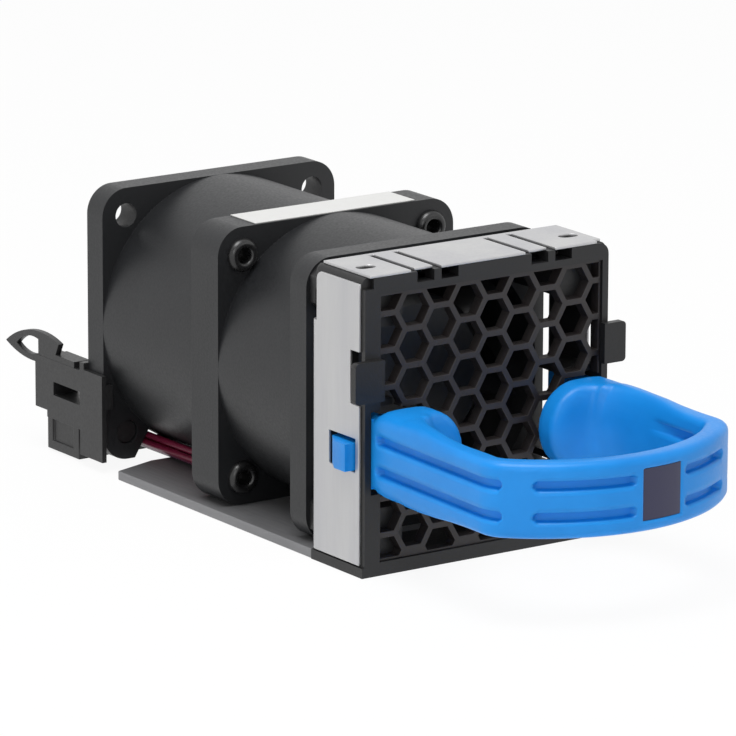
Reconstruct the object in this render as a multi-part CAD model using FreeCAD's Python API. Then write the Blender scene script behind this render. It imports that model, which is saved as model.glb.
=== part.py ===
import FreeCAD, Part
import os
from math import sin, cos, tan, acos, radians, degrees, sqrt, atan2, pi
from FreeCAD import Vector as V

# Hot-swap server fan module: two counter-rotating 40 mm fans in a row, carried by a moulded bezel
# with a tray, a honeycomb guard and a sprung squeeze handle. Millimetres, +Z up.
# X runs across the module and Y runs from its front face to its back.
# The origin is on the underside, under the middle of the bezel's front face.

# Driving sizes of the fans
fan_size = 40.0
fan_hole_edge = 4.0
fan_hole_diameter = 3.5
joint_hole_diameter = 3.0
flange_corner_radius = 4.0
duct_wall = 1.25
front_fan_length = 24.5
rear_fan_length = 31.5
front_fan_inlet_flange = 3.9
front_fan_joint_flange = 2.6
rear_fan_joint_flange = 4.2
rear_fan_outlet_flange = 4.1
tip_clearance = 0.55
hub_diameter = 24.0
hub_wall = 1.0
hub_bevel = 1.2
front_blade_count = 7
rear_blade_count = 5
blade_thickness = 0.9

# Driving sizes of the motors
shaft_diameter = 3.0
bearing_diameter = 8.0
bearing_width = 3.0
bearing_inner_ring = 0.75
running_gap = 0.05
bearing_tube_wall = 1.0
yoke_wall = 0.7
magnet_wall = 1.2
air_gap = 0.3
pole_count = 4
base_thickness = 1.2
base_rim_height = 2.6
base_rim_wall = 1.2
rotor_base_gap = 0.6
board_thickness = 0.8

# Driving sizes of the bezel and its tray
side_margin = 0.7
top_margin = 0.6
plate_thickness = 0.4
bezel_depth = 12.2
bezel_wall = 1.0
rim_thickness = 2.2
rim_left = 2.9
rim_top = 2.8
rim_bottom = 1.9
front_gap = 2.4
tray_thickness = 1.4
tray_length = 64.0
tray_corner_cut = 7.0
tray_corner_depth = 2.3
corner_relief = 1.0
wall_end_radius = 0.9
front_corner_radius = 1.6
rib_reach = 5.0
rib_thickness = 1.0
post_bevel = 1.6
rim_notch_start = 0.5
rim_notch_width = 2.8
rim_notch_height = 1.5
wall_pocket_depth = 1.1
wall_pocket_height = 3.8

# Driving sizes of the metal plates on the bezel
plate_low = 1.6
plate_seam = 0.8
plate_front = 0.9
plate_upper_margin = 1.1
plate_step_z = 33.9
plate_corner_radius = 1.2
top_plate_margin = 1.0
slot_inner = 7.5
slot_outer = 11.5
slot_offset = -0.8
slot_width = 1.0
slot_end_margin = 0.8

# Driving sizes of the honeycomb guard
cell_flats = 4.3
cell_bar = 0.84
cell_offset = -0.82
cell_row_offset = 2.1
smallest_cell_area = 1.2
guard_border = 0.35
guard_thickness = 1.8
guard_recess = 0.4

# Driving sizes of the handle
handle_reach = 37.3
handle_flare = 0.8
arm_clearance = 0.1
handle_thickness = 3.4
handle_low = 12.1
handle_height = 10.4
handle_front_radius = 26.0
handle_corner_radius = 5.2
handle_edge_bevel = 0.9
groove_offset = 2.15
groove_width = 1.2
groove_depth = 0.5
hinge_angle = 48.5
hinge_slot = 0.16
corner_zone = 4.2
squeeze_travel = 3.0
arm_inside_length = 9.0
arm_inside_thickness = 2.4
tooth_front = 2.0
tooth_back = 7.8
tooth_low = 14.8
tooth_high = 18.6
tooth_reach = 1.5
tooth_clearance = 0.25
tooth_headroom = 0.6
tooth_crest = 2.6
tooth_shoulder = 0.6
lobe_radius = 6.7
lobe_reach = 13.8
lobe_depth = 5.2
lobe_gap = 0.8
inner_groove_start = 12.0
badge_width = 6.6
badge_height = 7.2
badge_offset = 1.9
badge_depth = 0.6

# Driving sizes of the ears and the windows beside them
ear_low = 24.7
ear_high = 30.4
ear_reach = 1.9
ear_thickness = 1.1
ear_overlap = 0.3
window_below = 0.4
window_above = 1.0
notch_depth_left = 3.0
notch_depth_right = 4.8

# Driving sizes of the leads and the connector
wire_diameter = 1.0
wire_pitch = 1.06
wire_bend = 2.6
leads_per_fan = 4
lead_angle = 239.0
lead_clearance = 0.2
housing_width = 11.6
housing_length = 8.6
housing_height = 7.6
housing_lift = 0.3
housing_wall = 0.9
housing_back = 2.0
contact_width = 0.64
contact_length = 2.2
contact_pitch_x = 2.2
contact_pitch_z = 2.4
carrier_wall = 0.75
carrier_height = 15.4
tab_thickness = 0.9

# Driving sizes of the small parts
rivet_head_diameter = 4.8
rivet_head_height = 1.0
rivet_tail = 0.9
rivet_clearance = 0.05
screw_diameter = 2.2
screw_head_diameter = 4.8
screw_head_height = 1.3
label_width = 27.0
label_thickness = 0.15

# Sizes worked out from the driving sizes
module_width = fan_size + 2 * side_margin
module_height = tray_thickness + fan_size + top_margin
fan_z = tray_thickness + fan_size / 2
fan_y = bezel_depth + front_gap
joint_y = fan_y + front_fan_length
rear_y = joint_y + rear_fan_length
duct_radius = fan_size / 2 - duct_wall
tip_radius = duct_radius - tip_clearance
hub_radius = hub_diameter / 2
shaft_radius = shaft_diameter / 2
bearing_radius = bearing_diameter / 2
tube_radius = bearing_radius + bearing_tube_wall
yoke_radius = hub_radius - hub_wall
magnet_radius = yoke_radius - yoke_wall
magnet_bore = magnet_radius - magnet_wall
pole_radius = magnet_bore - air_gap
base_radius = hub_radius + 0.4
board_radius = base_radius - base_rim_wall - 0.2
rotor_start = base_rim_height + rotor_base_gap
hole_offset = fan_size / 2 - fan_hole_edge
plastic_half = module_width / 2 - plate_thickness
bezel_top = module_height - plate_thickness
cavity_half = plastic_half - bezel_wall
plate_upper_back = bezel_depth - plate_upper_margin
top_plate_back = bezel_depth - top_plate_margin
root_half = cavity_half - arm_clearance
half_width = root_half + handle_flare
opening_left = rim_left - module_width / 2
opening_right = cavity_half
opening_low = rim_bottom
opening_high = module_height - rim_top
handle_mid_z = handle_low + handle_height / 2
handle_high = handle_low + handle_height
wire_radius = wire_diameter / 2
bundle_width = leads_per_fan * wire_pitch + 2 * lead_clearance
inner_lead_radius = fan_size / 2 + wire_radius + 0.15
outer_lead_radius = inner_lead_radius + wire_pitch + 0.04
trough_depth = wire_diameter + 0.3


def box(x0, x1, y0, y1, z0, z1):
    return Part.makeBox(x1 - x0, y1 - y0, z1 - z0, V(x0, y0, z0))


def pair(shape):
    # a shape and its mirror image across the module's middle plane
    return [shape, shape.mirror(V(0, 0, 0), V(1, 0, 0))]


def rod_y(x, z, radius, y0, y1):
    return Part.makeCylinder(radius, abs(y1 - y0), V(x, min(y0, y1), z), V(0, 1, 0))


def tube_y(x, z, outer, inner, y0, y1):
    return rod_y(x, z, outer, y0, y1).cut(rod_y(x, z, inner, y0 - 1, y1 + 1))


def fuse(shapes):
    whole = shapes[0].multiFuse(shapes[1:]) if len(shapes) > 1 else shapes[0]
    return whole.removeSplitter()


def round_edges(shape, radius, wanted):
    edges = [edge for edge in shape.Edges if wanted(edge)]
    return shape.makeFillet(radius, edges)


def bevel_edges(shape, size, wanted):
    return shape.makeChamfer(size, [edge for edge in shape.Edges if wanted(edge)])


def save(name, shapes):
    group = shapes if isinstance(shapes, list) else [shapes]
    shape = group[0] if len(group) == 1 else Part.makeCompound(group)
    for solid in shape.Solids:
        if not solid.isValid():
            print("not valid", name)
    print(name, len(shape.Solids), round(shape.Volume, 1))
    shape.exportStep("parts/" + name + ".step")


def fan_holes(radius, y0, y1):
    corners = [(x, z) for x in (-hole_offset, hole_offset) for z in (-hole_offset, hole_offset)]
    return [rod_y(x, fan_z + z, radius, y0, y1) for x, z in corners]


# Bezel with its tray

def tray():
    half = module_width / 2
    back = tray_length
    corner = back - tray_corner_depth
    points = [(-half, 0), (half, 0), (half, corner), (half - tray_corner_cut, back),
              (-half + tray_corner_cut, back), (-half, corner), (-half, 0)]
    outline = Part.makePolygon([V(x, y, 0) for x, y in points])
    return Part.Face(outline).extrude(V(0, 0, tray_thickness))


def tooth_window(clearance):
    x0 = cavity_half - 1
    return box(x0, module_width / 2 + 1, tooth_front - clearance, tooth_back + clearance,
               tooth_low - clearance, tooth_high + tooth_headroom)


def arm_slot():
    # the slot in the rim and the guard that an arm passes through and swings in
    swing = sin(radians(squeeze_travel)) * handle_reach
    x0 = cavity_half - handle_thickness - swing - 0.6
    return box(x0, cavity_half, -1, rim_thickness + 1, handle_low - 0.6, handle_high + 0.6)


def side_window(depth):
    return box(cavity_half - 1, module_width / 2 + 1, plate_front - 0.1, depth,
               ear_low - window_below, ear_high + window_above)


def ear(inner_x):
    tab = box(inner_x, module_width / 2 + ear_reach, -ear_thickness, 0.0, ear_low, ear_high)
    tip = lambda e: e.BoundBox.YLength > ear_thickness - 0.01 and e.BoundBox.XMin > module_width / 2
    return round_edges(tab, 0.6, tip)


def front_corner():
    # what the rounding of the front rim's upper right corner takes away
    x = plastic_half - front_corner_radius
    z = bezel_top - front_corner_radius
    corner = box(x, plastic_half + 1, -1, plate_front - 0.1, z, bezel_top + 1)
    return corner.cut(rod_y(x, z, front_corner_radius, -2, plate_front))


def slot_centres():
    return [slot_offset + x for x in (-slot_outer, -slot_inner, slot_inner, slot_outer)]


def bezel():
    shell = box(-plastic_half, plastic_half, 0, bezel_depth, 0, bezel_top)
    top_edges = lambda e: abs(e.BoundBox.ZMin - bezel_top) < 0.01 and e.BoundBox.YLength > bezel_depth - 0.1
    shell = round_edges(shell, corner_relief, top_edges)
    wall_ends = lambda e: e.BoundBox.ZLength > module_height / 2 and e.BoundBox.YMin > bezel_depth - 0.01
    shell = round_edges(shell, wall_end_radius, wall_ends)
    cavity = box(-cavity_half, cavity_half, rim_thickness, bezel_depth + 1,
                 tray_thickness, bezel_top - bezel_wall)
    opening = box(opening_left, opening_right, -1, rim_thickness + 1, opening_low, opening_high)
    post_half = cavity_half - hole_offset + 0.1
    posts = []
    for x in (-hole_offset, hole_offset):
        for z in (fan_z - hole_offset, fan_z + hole_offset):
            post = box(x - post_half, x + post_half, rim_thickness, fan_y, z - post_half, z + post_half)
            posts.append(bevel_edges(post, post_bevel, lambda e: e.BoundBox.YLength > 1))
    ribs = []
    for z0 in (handle_low - 1.6, handle_high + 0.6):
        rib = box(cavity_half - rib_reach, cavity_half + 0.2, rim_thickness, arm_inside_length,
                  z0, z0 + rib_thickness)
        ribs += pair(rib)
    ear_right = ear(cavity_half - ear_overlap)
    ear_left = ear(-opening_left).mirror(V(0, 0, 0), V(1, 0, 0))
    body = fuse([shell.cut([cavity, opening]), tray()] + posts + ribs + [ear_left, ear_right])
    screw_bores = fan_holes(screw_diameter / 2, fan_y - 7, fan_y + 1)
    rim_notches = []
    for centre in slot_centres():
        x = centre + rim_notch_start
        rim_notches.append(box(x, x + rim_notch_width, -1, rim_thickness + 1,
                               bezel_top - rim_notch_height, bezel_top + 1))
    corner_notch = box(-plastic_half - 1, -plastic_half + 1.4, -1, 0.8, bezel_top - 1.5, bezel_top + 1)
    pocket = box(-plastic_half - 1, -cavity_half + 0.1, bezel_depth - wall_pocket_depth, bezel_depth + 1,
                 plate_step_z, plate_step_z + wall_pocket_height)
    tools = pair(tooth_window(tooth_clearance)) + pair(arm_slot()) + screw_bores + rim_notches
    tools += [corner_notch, front_corner(), pocket, side_window(notch_depth_right)]
    tools += [side_window(notch_depth_left).mirror(V(0, 0, 0), V(1, 0, 0))]
    return body.cut(tools)


# Honeycomb guard, seated behind the front face and inside the rim

def honeycomb_grille():
    y0 = guard_recess
    y1 = guard_recess + guard_thickness
    plate = box(opening_left, opening_right, y0, y1, opening_low, opening_high)
    pitch = cell_flats + cell_bar
    column = pitch * sqrt(3) / 2
    corner = cell_flats / sqrt(3)
    window = box(opening_left + guard_border, opening_right - guard_border, y0 - 1, y1 + 1,
                 opening_low + guard_border, opening_high - guard_border)
    columns = int(module_width / column / 2) + 1
    rows = int(module_height / pitch / 2) + 1
    cells = []
    for i in range(-columns, columns + 1):
        x = cell_offset + (i + 0.5) * column
        shift = pitch / 2 if i % 2 else 0
        for j in range(-rows, rows + 1):
            z = fan_z + cell_row_offset + j * pitch + shift
            turns = [k * pi / 3 for k in range(7)]
            points = [V(x + corner * cos(turn), y0 - 1, z + corner * sin(turn)) for turn in turns]
            cell = Part.Face(Part.makePolygon(points)).extrude(V(0, y1 - y0 + 2, 0)).common(window)
            if cell.Volume > smallest_cell_area * (y1 - y0 + 2):
                cells.append(cell)
    return plate.cut(cells + pair(arm_slot()))


# Metal plates on the bezel's sides and top

def side_plate(notch_depth):
    # the plate follows the wall and wraps round its end
    top = bezel_top - plate_seam
    height = top - plate_low
    bend_x = plastic_half - wall_end_radius
    bend_y = bezel_depth - wall_end_radius
    plate = box(plastic_half, plastic_half + plate_thickness, plate_front, bend_y, plate_low, top)
    bend = Part.makeCylinder(wall_end_radius + plate_thickness, height,
                             V(bend_x, bend_y, plate_low), V(0, 0, 1), 90)
    bend = bend.cut(Part.makeCylinder(wall_end_radius, height + 2, V(bend_x, bend_y, plate_low - 1)))
    plate = fuse([plate, bend])
    step = box(bend_x - 1, plastic_half + 2, plate_upper_back, bezel_depth + 1, plate_step_z, bezel_top + 1)
    notch = box(plastic_half - 1, plastic_half + 2, -1, notch_depth,
                ear_low - 2 * window_below, ear_high + window_above)
    plate = plate.cut([step, notch, tooth_window(tooth_clearance)])
    upper_corner = lambda e: e.BoundBox.YMin > plate_upper_back - 0.01 and e.BoundBox.ZMin > top - 0.01
    return round_edges(plate, plate_corner_radius, upper_corner)


def top_plate():
    z0 = bezel_top
    z1 = module_height
    edge = plastic_half - plate_seam
    plate = box(-edge, edge, 0, top_plate_back, z0, z1)
    slot_end = top_plate_back - slot_end_margin
    tools = [box(x - slot_width / 2, x + slot_width / 2, -1, slot_end, z0 - 1, z1 + 1)
             for x in slot_centres()]
    oval = Part.makeCylinder(0.95, 3, V(hole_offset + 0.4, 4.9, z0 - 1))
    oval = oval.fuse(oval.translated(V(1.0, 0, 0))).fuse(
        box(hole_offset + 0.4, hole_offset + 1.4, 3.95, 5.85, z0 - 1, z0 + 2))
    tools += pair(oval)
    for side in (-1, 1):
        middle = slot_offset + side * (slot_inner + slot_outer) / 2
        half = (slot_outer - slot_inner) / 2
        tools.append(box(middle - half, middle + half, -1, 0.7, z0 - 1, z1 + 1))
    tools.append(box(edge - 1.2, edge + 1, -1, plate_front, z0 - 1, z1 + 1))
    return plate.cut(tools)


# Fan frames: base side first, s runs along Y from the joint towards the hub's closed end

class Fan:
    def __init__(self, name, direction, length, base_flange, outer_flange,
                 outer_hole_diameter, blades, hand):
        self.name = name
        self.d = direction
        self.length = length
        self.base_flange = base_flange
        self.outer_flange = outer_flange
        self.outer_hole_diameter = outer_hole_diameter
        self.blades = blades
        self.hand = hand
        self.hub_end = length - 2.4
        self.tube_end = self.hub_end - 4.2

    def y(self, s):
        return joint_y + self.d * s

    def rod(self, radius, s0, s1):
        return rod_y(0, fan_z, radius, self.y(s0), self.y(s1))

    def ring(self, outer, inner, s0, s1):
        bore = rod_y(0, fan_z, inner, self.y(s0) - 1 * self.d, self.y(s1) + 1 * self.d)
        return self.rod(outer, s0, s1).cut(bore)

    def block(self, r0, r1, width, s0, s1, angle):
        # a block that reaches out from the axis at an angle in the fan's plane
        y0, y1 = sorted((self.y(s0), self.y(s1)))
        shape = box(r0, r1, y0, y1, -width / 2, width / 2)
        shape.rotate(V(0, 0, 0), V(0, 1, 0), -angle)
        return shape.translated(V(0, 0, fan_z))


def flange(fan, s0, s1, hole_diameter):
    y0, y1 = sorted((fan.y(s0), fan.y(s1)))
    half = fan_size / 2
    plate = box(-half, half, y0, y1, fan_z - half, fan_z + half)
    plate = round_edges(plate, flange_corner_radius, lambda e: e.BoundBox.YLength > 0.9 * (y1 - y0))
    return plate.cut(fan_holes(hole_diameter / 2, y0 - 1, y1 + 1))


def lead_notch(fan, s0, s1, inner):
    return fan.block(inner, fan_size, bundle_width, s0, s1, lead_angle)


def frame(fan):
    shell = fan.rod(fan_size / 2, 0, fan.length)
    body = fuse([shell, flange(fan, 0, fan.base_flange, joint_hole_diameter),
                 flange(fan, fan.length - fan.outer_flange, fan.length, fan.outer_hole_diameter)])
    body = body.cut(rod_y(0, fan_z, duct_radius, fan.y(0) - fan.d, fan.y(fan.length) + fan.d))
    base = fan.rod(base_radius, 0, base_rim_height).cut(
        fan.rod(base_radius - base_rim_wall, base_thickness, base_rim_height + 1))
    count = fan.blades + 1
    struts = []
    for i in range(count):
        angle = lead_angle + 360.0 * i / count
        width = bundle_width + 1.0 if i == 0 else 1.2
        struts.append(fan.block(base_radius - 0.5, duct_radius + 0.5, width, 0, base_rim_height, angle))
    body = fuse([body, base] + struts)
    tools = [fan.rod(tube_radius, -1, base_thickness + 1)]
    tools.append(fan.block(tube_radius + 3.5, fan_size / 2 - 0.4, bundle_width, -1, trough_depth,
                           lead_angle))
    if fan.d > 0:
        tools.append(fan.block(duct_radius - 1.6, fan_size / 2 + 0.2, bundle_width, -1, 3.8, lead_angle))
        tools.append(lead_notch(fan, -1, fan.base_flange + 1, fan_size / 2))
        tools.append(lead_notch(fan, fan.length - fan.outer_flange - 1, fan.length + 1, fan_size / 2))
    else:
        tools.append(fan.block(duct_radius - 1.6, outer_lead_radius + 0.8, bundle_width, -1,
                               trough_depth, lead_angle))
    return body.cut(tools)


# Rotors

def blade_section(radius, length, stagger, camber, middle, hand):
    # a thin cambered plate in the plane at right angles to the radius
    run = length / 2
    rise = run * tan(radians(stagger)) * hand
    t = blade_thickness / 2
    lean = atan2(rise, run)
    side = V(0, -sin(lean), cos(lean))
    ends = [V(radius, middle - run, -rise), V(radius, middle + run, rise)]
    bulge = side * (camber * hand)
    centre = V(radius, middle, 0) + bulge
    upper = Part.Arc(ends[0] + side * t * 0.5, centre + side * t, ends[1] + side * t * 0.3)
    lower = Part.Arc(ends[1] - side * t * 0.3, centre - side * t, ends[0] - side * t * 0.5)
    back = Part.LineSegment(ends[1] + side * t * 0.3, ends[1] - side * t * 0.3)
    front = Part.LineSegment(ends[0] - side * t * 0.5, ends[0] + side * t * 0.5)
    return Part.Wire([upper.toShape(), back.toShape(), lower.toShape(), front.toShape()])


def impeller(fan):
    hub = fan.rod(hub_radius, rotor_start, fan.hub_end)
    end_y = fan.y(fan.hub_end)
    on_end = lambda e: abs(e.BoundBox.YMin - end_y) < 0.01 and e.BoundBox.YLength < 0.01
    hub = bevel_edges(hub, hub_bevel, on_end)
    hub = hub.cut(fan.rod(yoke_radius, rotor_start - 1, fan.hub_end - 1.3))
    boss = fan.rod(2.8, fan.tube_end + 0.9, fan.hub_end - 1.0)
    length = fan.hub_end - rotor_start - 2.0
    middle = fan.y((fan.hub_end + rotor_start) / 2)
    sections = [blade_section(r, length * k, angle, camber, middle, fan.hand) for r, k, angle, camber in
                ((hub_radius - 0.5, 1.0, root_stagger(fan), 1.0),
                 (tip_radius + 2.2, 0.94, root_stagger(fan) + 9, 0.6))]
    blade = Part.makeLoft(sections, True, True)
    shell = tube_y(0, 0, tip_radius, hub_radius - 0.4, middle - length, middle + length)
    blade = blade.common(shell)
    blades = []
    for i in range(fan.blades):
        copy = blade.copy()
        copy.rotate(V(0, 0, 0), V(0, 1, 0), 360.0 * i / fan.blades)
        blades.append(copy.translated(V(0, 0, fan_z)))
    body = fuse([hub, boss] + blades)
    return body.cut(fan.rod(shaft_radius, rotor_start - 2, fan.hub_end - 0.6))


def root_stagger(fan):
    return 24.0 if fan.d < 0 else 18.0


def yoke(fan):
    wall = fan.ring(yoke_radius, magnet_radius, rotor_start + 0.3, fan.hub_end - 1.3)
    cap = fan.ring(magnet_radius + 0.1, 2.8, fan.hub_end - 1.9, fan.hub_end - 1.3)
    return fuse([wall, cap])


def magnet(fan):
    return fan.ring(magnet_radius, magnet_bore, rotor_start + 0.5, rotor_start + 9.5)


def shaft(fan):
    rod = fan.rod(shaft_radius, 0.4, fan.hub_end - 0.6)
    groove = fan.ring(shaft_radius + 1, shaft_radius - 0.25, 0.7, 1.0)
    return rod.cut(groove)


def bearing_tube(fan):
    tube = fan.ring(tube_radius, bearing_radius - 0.5, 0, fan.tube_end)
    seats = [fan.rod(bearing_radius, -1, 1.0 + bearing_width),
             fan.rod(bearing_radius, fan.tube_end - bearing_width, fan.tube_end + 1)]
    return tube.cut(seats)


def bearing_rings(fan, outer, inner):
    seats = (1.0, fan.tube_end - bearing_width)
    return [fan.ring(outer, inner, s, s + bearing_width) for s in seats]


def preload_washer(fan):
    # a conical washer between the upper bearing's inner ring and the hub's boss
    s0 = fan.tube_end
    s1 = fan.tube_end + 0.9
    y0, y1 = fan.y(s0), fan.y(s1)
    t = 0.3 * fan.d
    outer = shaft_radius + 0.7
    inner = shaft_radius + 0.1
    points = [V(outer, y0, 0), V(outer, y0 + t, 0), V(inner + 0.2, y1, 0), V(inner, y1, 0),
              V(inner, y1 - t, 0)]
    face = Part.Face(Part.makePolygon(points + [points[0]]))
    return face.revolve(V(0, 0, 0), V(0, 1, 0), 360).translated(V(0, 0, fan_z))


def retaining_clip(fan):
    ring = fan.ring(shaft_radius + 0.65, shaft_radius - 0.2, 0.7, 1.0)
    return ring.cut(fan.block(0, 5, 1.4, 0, 2, 90))


def stator(fan):
    s0, s1 = rotor_start + 2.0, rotor_start + 8.0
    core = fan.ring(tube_radius + 1.2, tube_radius, s0, s1)
    shoes = fan.ring(pole_radius, pole_radius - 0.8, s0, s1)
    gaps = [fan.block(pole_radius - 2, pole_radius + 1, 1.6, s0 - 1, s1 + 1, 360.0 * (i + 0.5) / pole_count)
            for i in range(pole_count)]
    necks = [fan.block(tube_radius + 0.6, pole_radius - 0.4, neck_width, s0, s1, 360.0 * i / pole_count)
             for i in range(pole_count)]
    return fuse([core, shoes.cut(gaps)] + necks)


neck_width = 2.4


def windings(fan):
    s0, s1 = rotor_start + 2.0, rotor_start + 8.0
    coils = []
    for i in range(pole_count):
        angle = 360.0 * i / pole_count
        coil = fan.block(tube_radius + 1.3, pole_radius - 1.35, neck_width + 2.8, s0 - 1.1, s1 + 1.1, angle)
        core = fan.block(tube_radius, pole_radius, neck_width + 0.04, s0 - 0.02, s1 + 0.02, angle)
        coils.append(coil.cut(core))
    return coils


def board(fan):
    return fan.ring(board_radius, tube_radius + 0.1, base_thickness, base_thickness + board_thickness)


def wire_section(centre, side):
    # wires are thin, so eight flats stand for their round skin
    angles = [radians(22.5 + 45 * k) for k in range(9)]
    points = [centre + side * (wire_radius * cos(a)) + V(0, 0, wire_radius * sin(a)) for a in angles]
    return Part.Face(Part.makePolygon(points))


def leads(fan):
    # wires lie side by side along the lead strut, turn once and run straight back to the connector
    y_lead = fan.y(wire_radius + 0.12)
    reach = inner_lead_radius if fan.d > 0 else outer_lead_radius
    start = tube_radius + 3.9
    corner = reach - wire_bend
    wires = []
    for i in range(leads_per_fan):
        across = (i - (leads_per_fan - 1) / 2) * wire_pitch
        section = wire_section(V(corner, y_lead, across), V(0, 1, 0))
        inward = section.extrude(V(start - corner, 0, 0))
        bend = section.revolve(V(corner, y_lead + wire_bend, across), V(0, 0, 1), 90)
        turned = wire_section(V(reach, y_lead + wire_bend, across), V(1, 0, 0))
        along = turned.extrude(V(0, housing_front - y_lead - wire_bend, 0))
        wire = fuse([inward, bend, along])
        wire.rotate(V(0, 0, 0), V(0, 1, 0), -lead_angle)
        wires.append(wire.translated(V(0, 0, fan_z)))
    return wires


# Handle: one flexible moulding, kept as a bow and two arms that flex at the corners

front_centre_y = -handle_reach + handle_front_radius
corner_x = half_width - handle_corner_radius
corner_y = front_centre_y - sqrt((handle_front_radius - handle_corner_radius) ** 2 - corner_x ** 2)
hinge_radius = handle_front_radius - handle_thickness / 2
hinge_x = hinge_radius * cos(radians(hinge_angle))
hinge_y = front_centre_y - hinge_radius * sin(radians(hinge_angle))


def handle_outline(inset, back):
    # outline of the loop in plan, closed across the back; inset is measured from the outer face
    centre = V(0, front_centre_y, 0)
    corner = V(corner_x, corner_y, 0)
    toward = (corner - centre).normalize()
    touch = centre + toward * (handle_front_radius - inset)
    to_root = V(root_half, 0, 0) - corner
    spread = acos(handle_corner_radius / to_root.Length)
    normal_angle = atan2(to_root.y, to_root.x) - spread
    normal = V(cos(normal_angle), sin(normal_angle), 0)
    along = V(-normal.y, normal.x, 0)
    side = corner + normal * (handle_corner_radius - inset)
    end = side + along * ((back - side.y) / along.y)
    mid_angle = (normal_angle + atan2(toward.y, toward.x)) / 2
    corner_mid = corner + V(cos(mid_angle), sin(mid_angle), 0) * (handle_corner_radius - inset)
    front = V(0, -handle_reach + inset, 0)
    lines = [Part.LineSegment(end, side), Part.Arc(side, corner_mid, touch),
             Part.Arc(touch, front, flip(touch)),
             Part.Arc(flip(touch), flip(corner_mid), flip(side)), Part.LineSegment(flip(side), flip(end)),
             Part.LineSegment(flip(end), end)]
    return Part.Wire([line.toShape() for line in lines])


def flip(point):
    return V(-point.x, point.y, point.z)


def handle_ring(inset_outer, inset_inner, z0, z1):
    outer = Part.Face(handle_outline(inset_outer, 1.0))
    inner = Part.Face(handle_outline(inset_inner, 1.5))
    band = outer.cut(inner).extrude(V(0, 0, z1 - z0))
    return band.translated(V(0, 0, z0))


def handle_wedge(start, stop):
    # a sector about the front arc's centre, from start to stop degrees off the X axis
    reach = 60
    points = [V(0, front_centre_y, 0)]
    for angle in (start, (start + stop) / 2, stop):
        points.append(V(reach * cos(radians(angle)), front_centre_y - reach * sin(radians(angle)), 0))
    face = Part.Face(Part.makePolygon(points + [points[0]]))
    return face.extrude(V(0, 0, 60)).translated(V(0, 0, -5))


def handle_grooves():
    # two grooves round the outside, left out at the flexible corners and at the badge
    zone = degrees(corner_zone / 2 / handle_front_radius)
    arms = handle_wedge(-80, hinge_angle - zone)
    tools = []
    for dz in (-groove_offset, groove_offset):
        z0 = handle_mid_z + dz - groove_width / 2
        outside = handle_ring(-2, groove_depth, z0, z0 + groove_width)
        inside = handle_ring(handle_thickness - groove_depth, handle_thickness + 2, z0, z0 + groove_width)
        front_right = handle_wedge(hinge_angle + zone, badge_side(badge_offset))
        front_left = handle_wedge(hinge_angle + zone, badge_side(-badge_offset))
        tools.append(outside.common(front_right))
        tools.append(outside.common(front_left.mirror(V(0, 0, 0), V(1, 0, 0))))
        arm_part = box(0, 60, -60, -1.6, -5, 60).common(arms)
        tools += pair(outside.common(arm_part))
        inner_part = box(0, 60, corner_y + 1.0, -inner_groove_start, -5, 60)
        tools += pair(inside.common(inner_part))
    return tools


def badge_side(offset):
    return 90 - degrees((offset + badge_width / 2 + 1.0) / handle_front_radius)


def handle_band():
    band = handle_ring(0, handle_thickness, handle_low, handle_high)
    flat = lambda e: e.BoundBox.ZLength < 0.01 and e.BoundBox.YMax < 0.9 and (
        abs(e.BoundBox.ZMin - handle_low) < 0.01 or abs(e.BoundBox.ZMin - handle_high) < 0.01)
    return bevel_edges(band, handle_edge_bevel, flat)


def badge_recess(depth):
    x0 = badge_offset - badge_width / 2
    z0 = handle_mid_z - badge_height / 2
    outer = handle_ring(-0.4, depth, z0, z0 + badge_height)
    return outer.common(box(x0, x0 + badge_width, -handle_reach - 5, -handle_reach + 8, -5, 60))


def handle_bow(band, grooves):
    slot = degrees(hinge_slot / 2 / hinge_radius)
    front = handle_wedge(hinge_angle + slot, 90)
    whole = fuse(pair(front))
    return band.common(whole).cut(grooves + [badge_recess(badge_depth)])


def badge():
    z0 = handle_mid_z - badge_height / 2
    plate = handle_ring(0.08, badge_depth, z0, z0 + badge_height)
    x0 = badge_offset - badge_width / 2
    return plate.common(box(x0, x0 + badge_width, -handle_reach - 5, -handle_reach + 8, -5, 60))


def lobe_section(y, inner_x, z_low, z_high, outer_x):
    # a band that is round on the side of the fingers and bevelled on the outer side
    z_mid = (z_low + z_high) / 2
    corner = 1.0
    bend_x = inner_x + min((z_high - z_low) * 0.45, (outer_x - corner - inner_x) * 0.8)
    a = V(bend_x, y, z_high)
    b = V(outer_x - corner, y, z_high)
    c = V(outer_x, y, z_high - corner)
    d = V(outer_x, y, z_low + corner)
    e = V(outer_x - corner, y, z_low)
    f = V(bend_x, y, z_low)
    parts = [Part.LineSegment(a, b), Part.LineSegment(b, c), Part.LineSegment(c, d), Part.LineSegment(d, e),
             Part.LineSegment(e, f), Part.Arc(f, V(inner_x, y, z_mid), a)]
    return Part.Wire([part.toShape() for part in parts])


def finger_lobe():
    # the root of an arm curls inwards into a rounded pad for a finger, and tapers into the arm
    outer = root_half - 0.7
    tip = root_half - lobe_reach
    inner = half_width - handle_thickness
    low = handle_mid_z - lobe_radius
    high = handle_mid_z + lobe_radius
    y0 = -lobe_gap
    sections = [lobe_section(y0, tip + 0.9, low + 0.7, high - 0.7, outer),
                lobe_section(y0 - 2.0, tip, low, high, outer),
                lobe_section(y0 - lobe_depth, tip + 2.6, low + 0.9, high - 0.9, outer),
                lobe_section(y0 - lobe_depth - 4.0, tip + 7.6, low + 1.8, high - 1.8, outer),
                lobe_section(y0 - lobe_depth - 9.4, inner - 0.3, low + 2.4, high - 2.4, outer)]
    return Part.makeLoft(sections, True, False)


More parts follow.
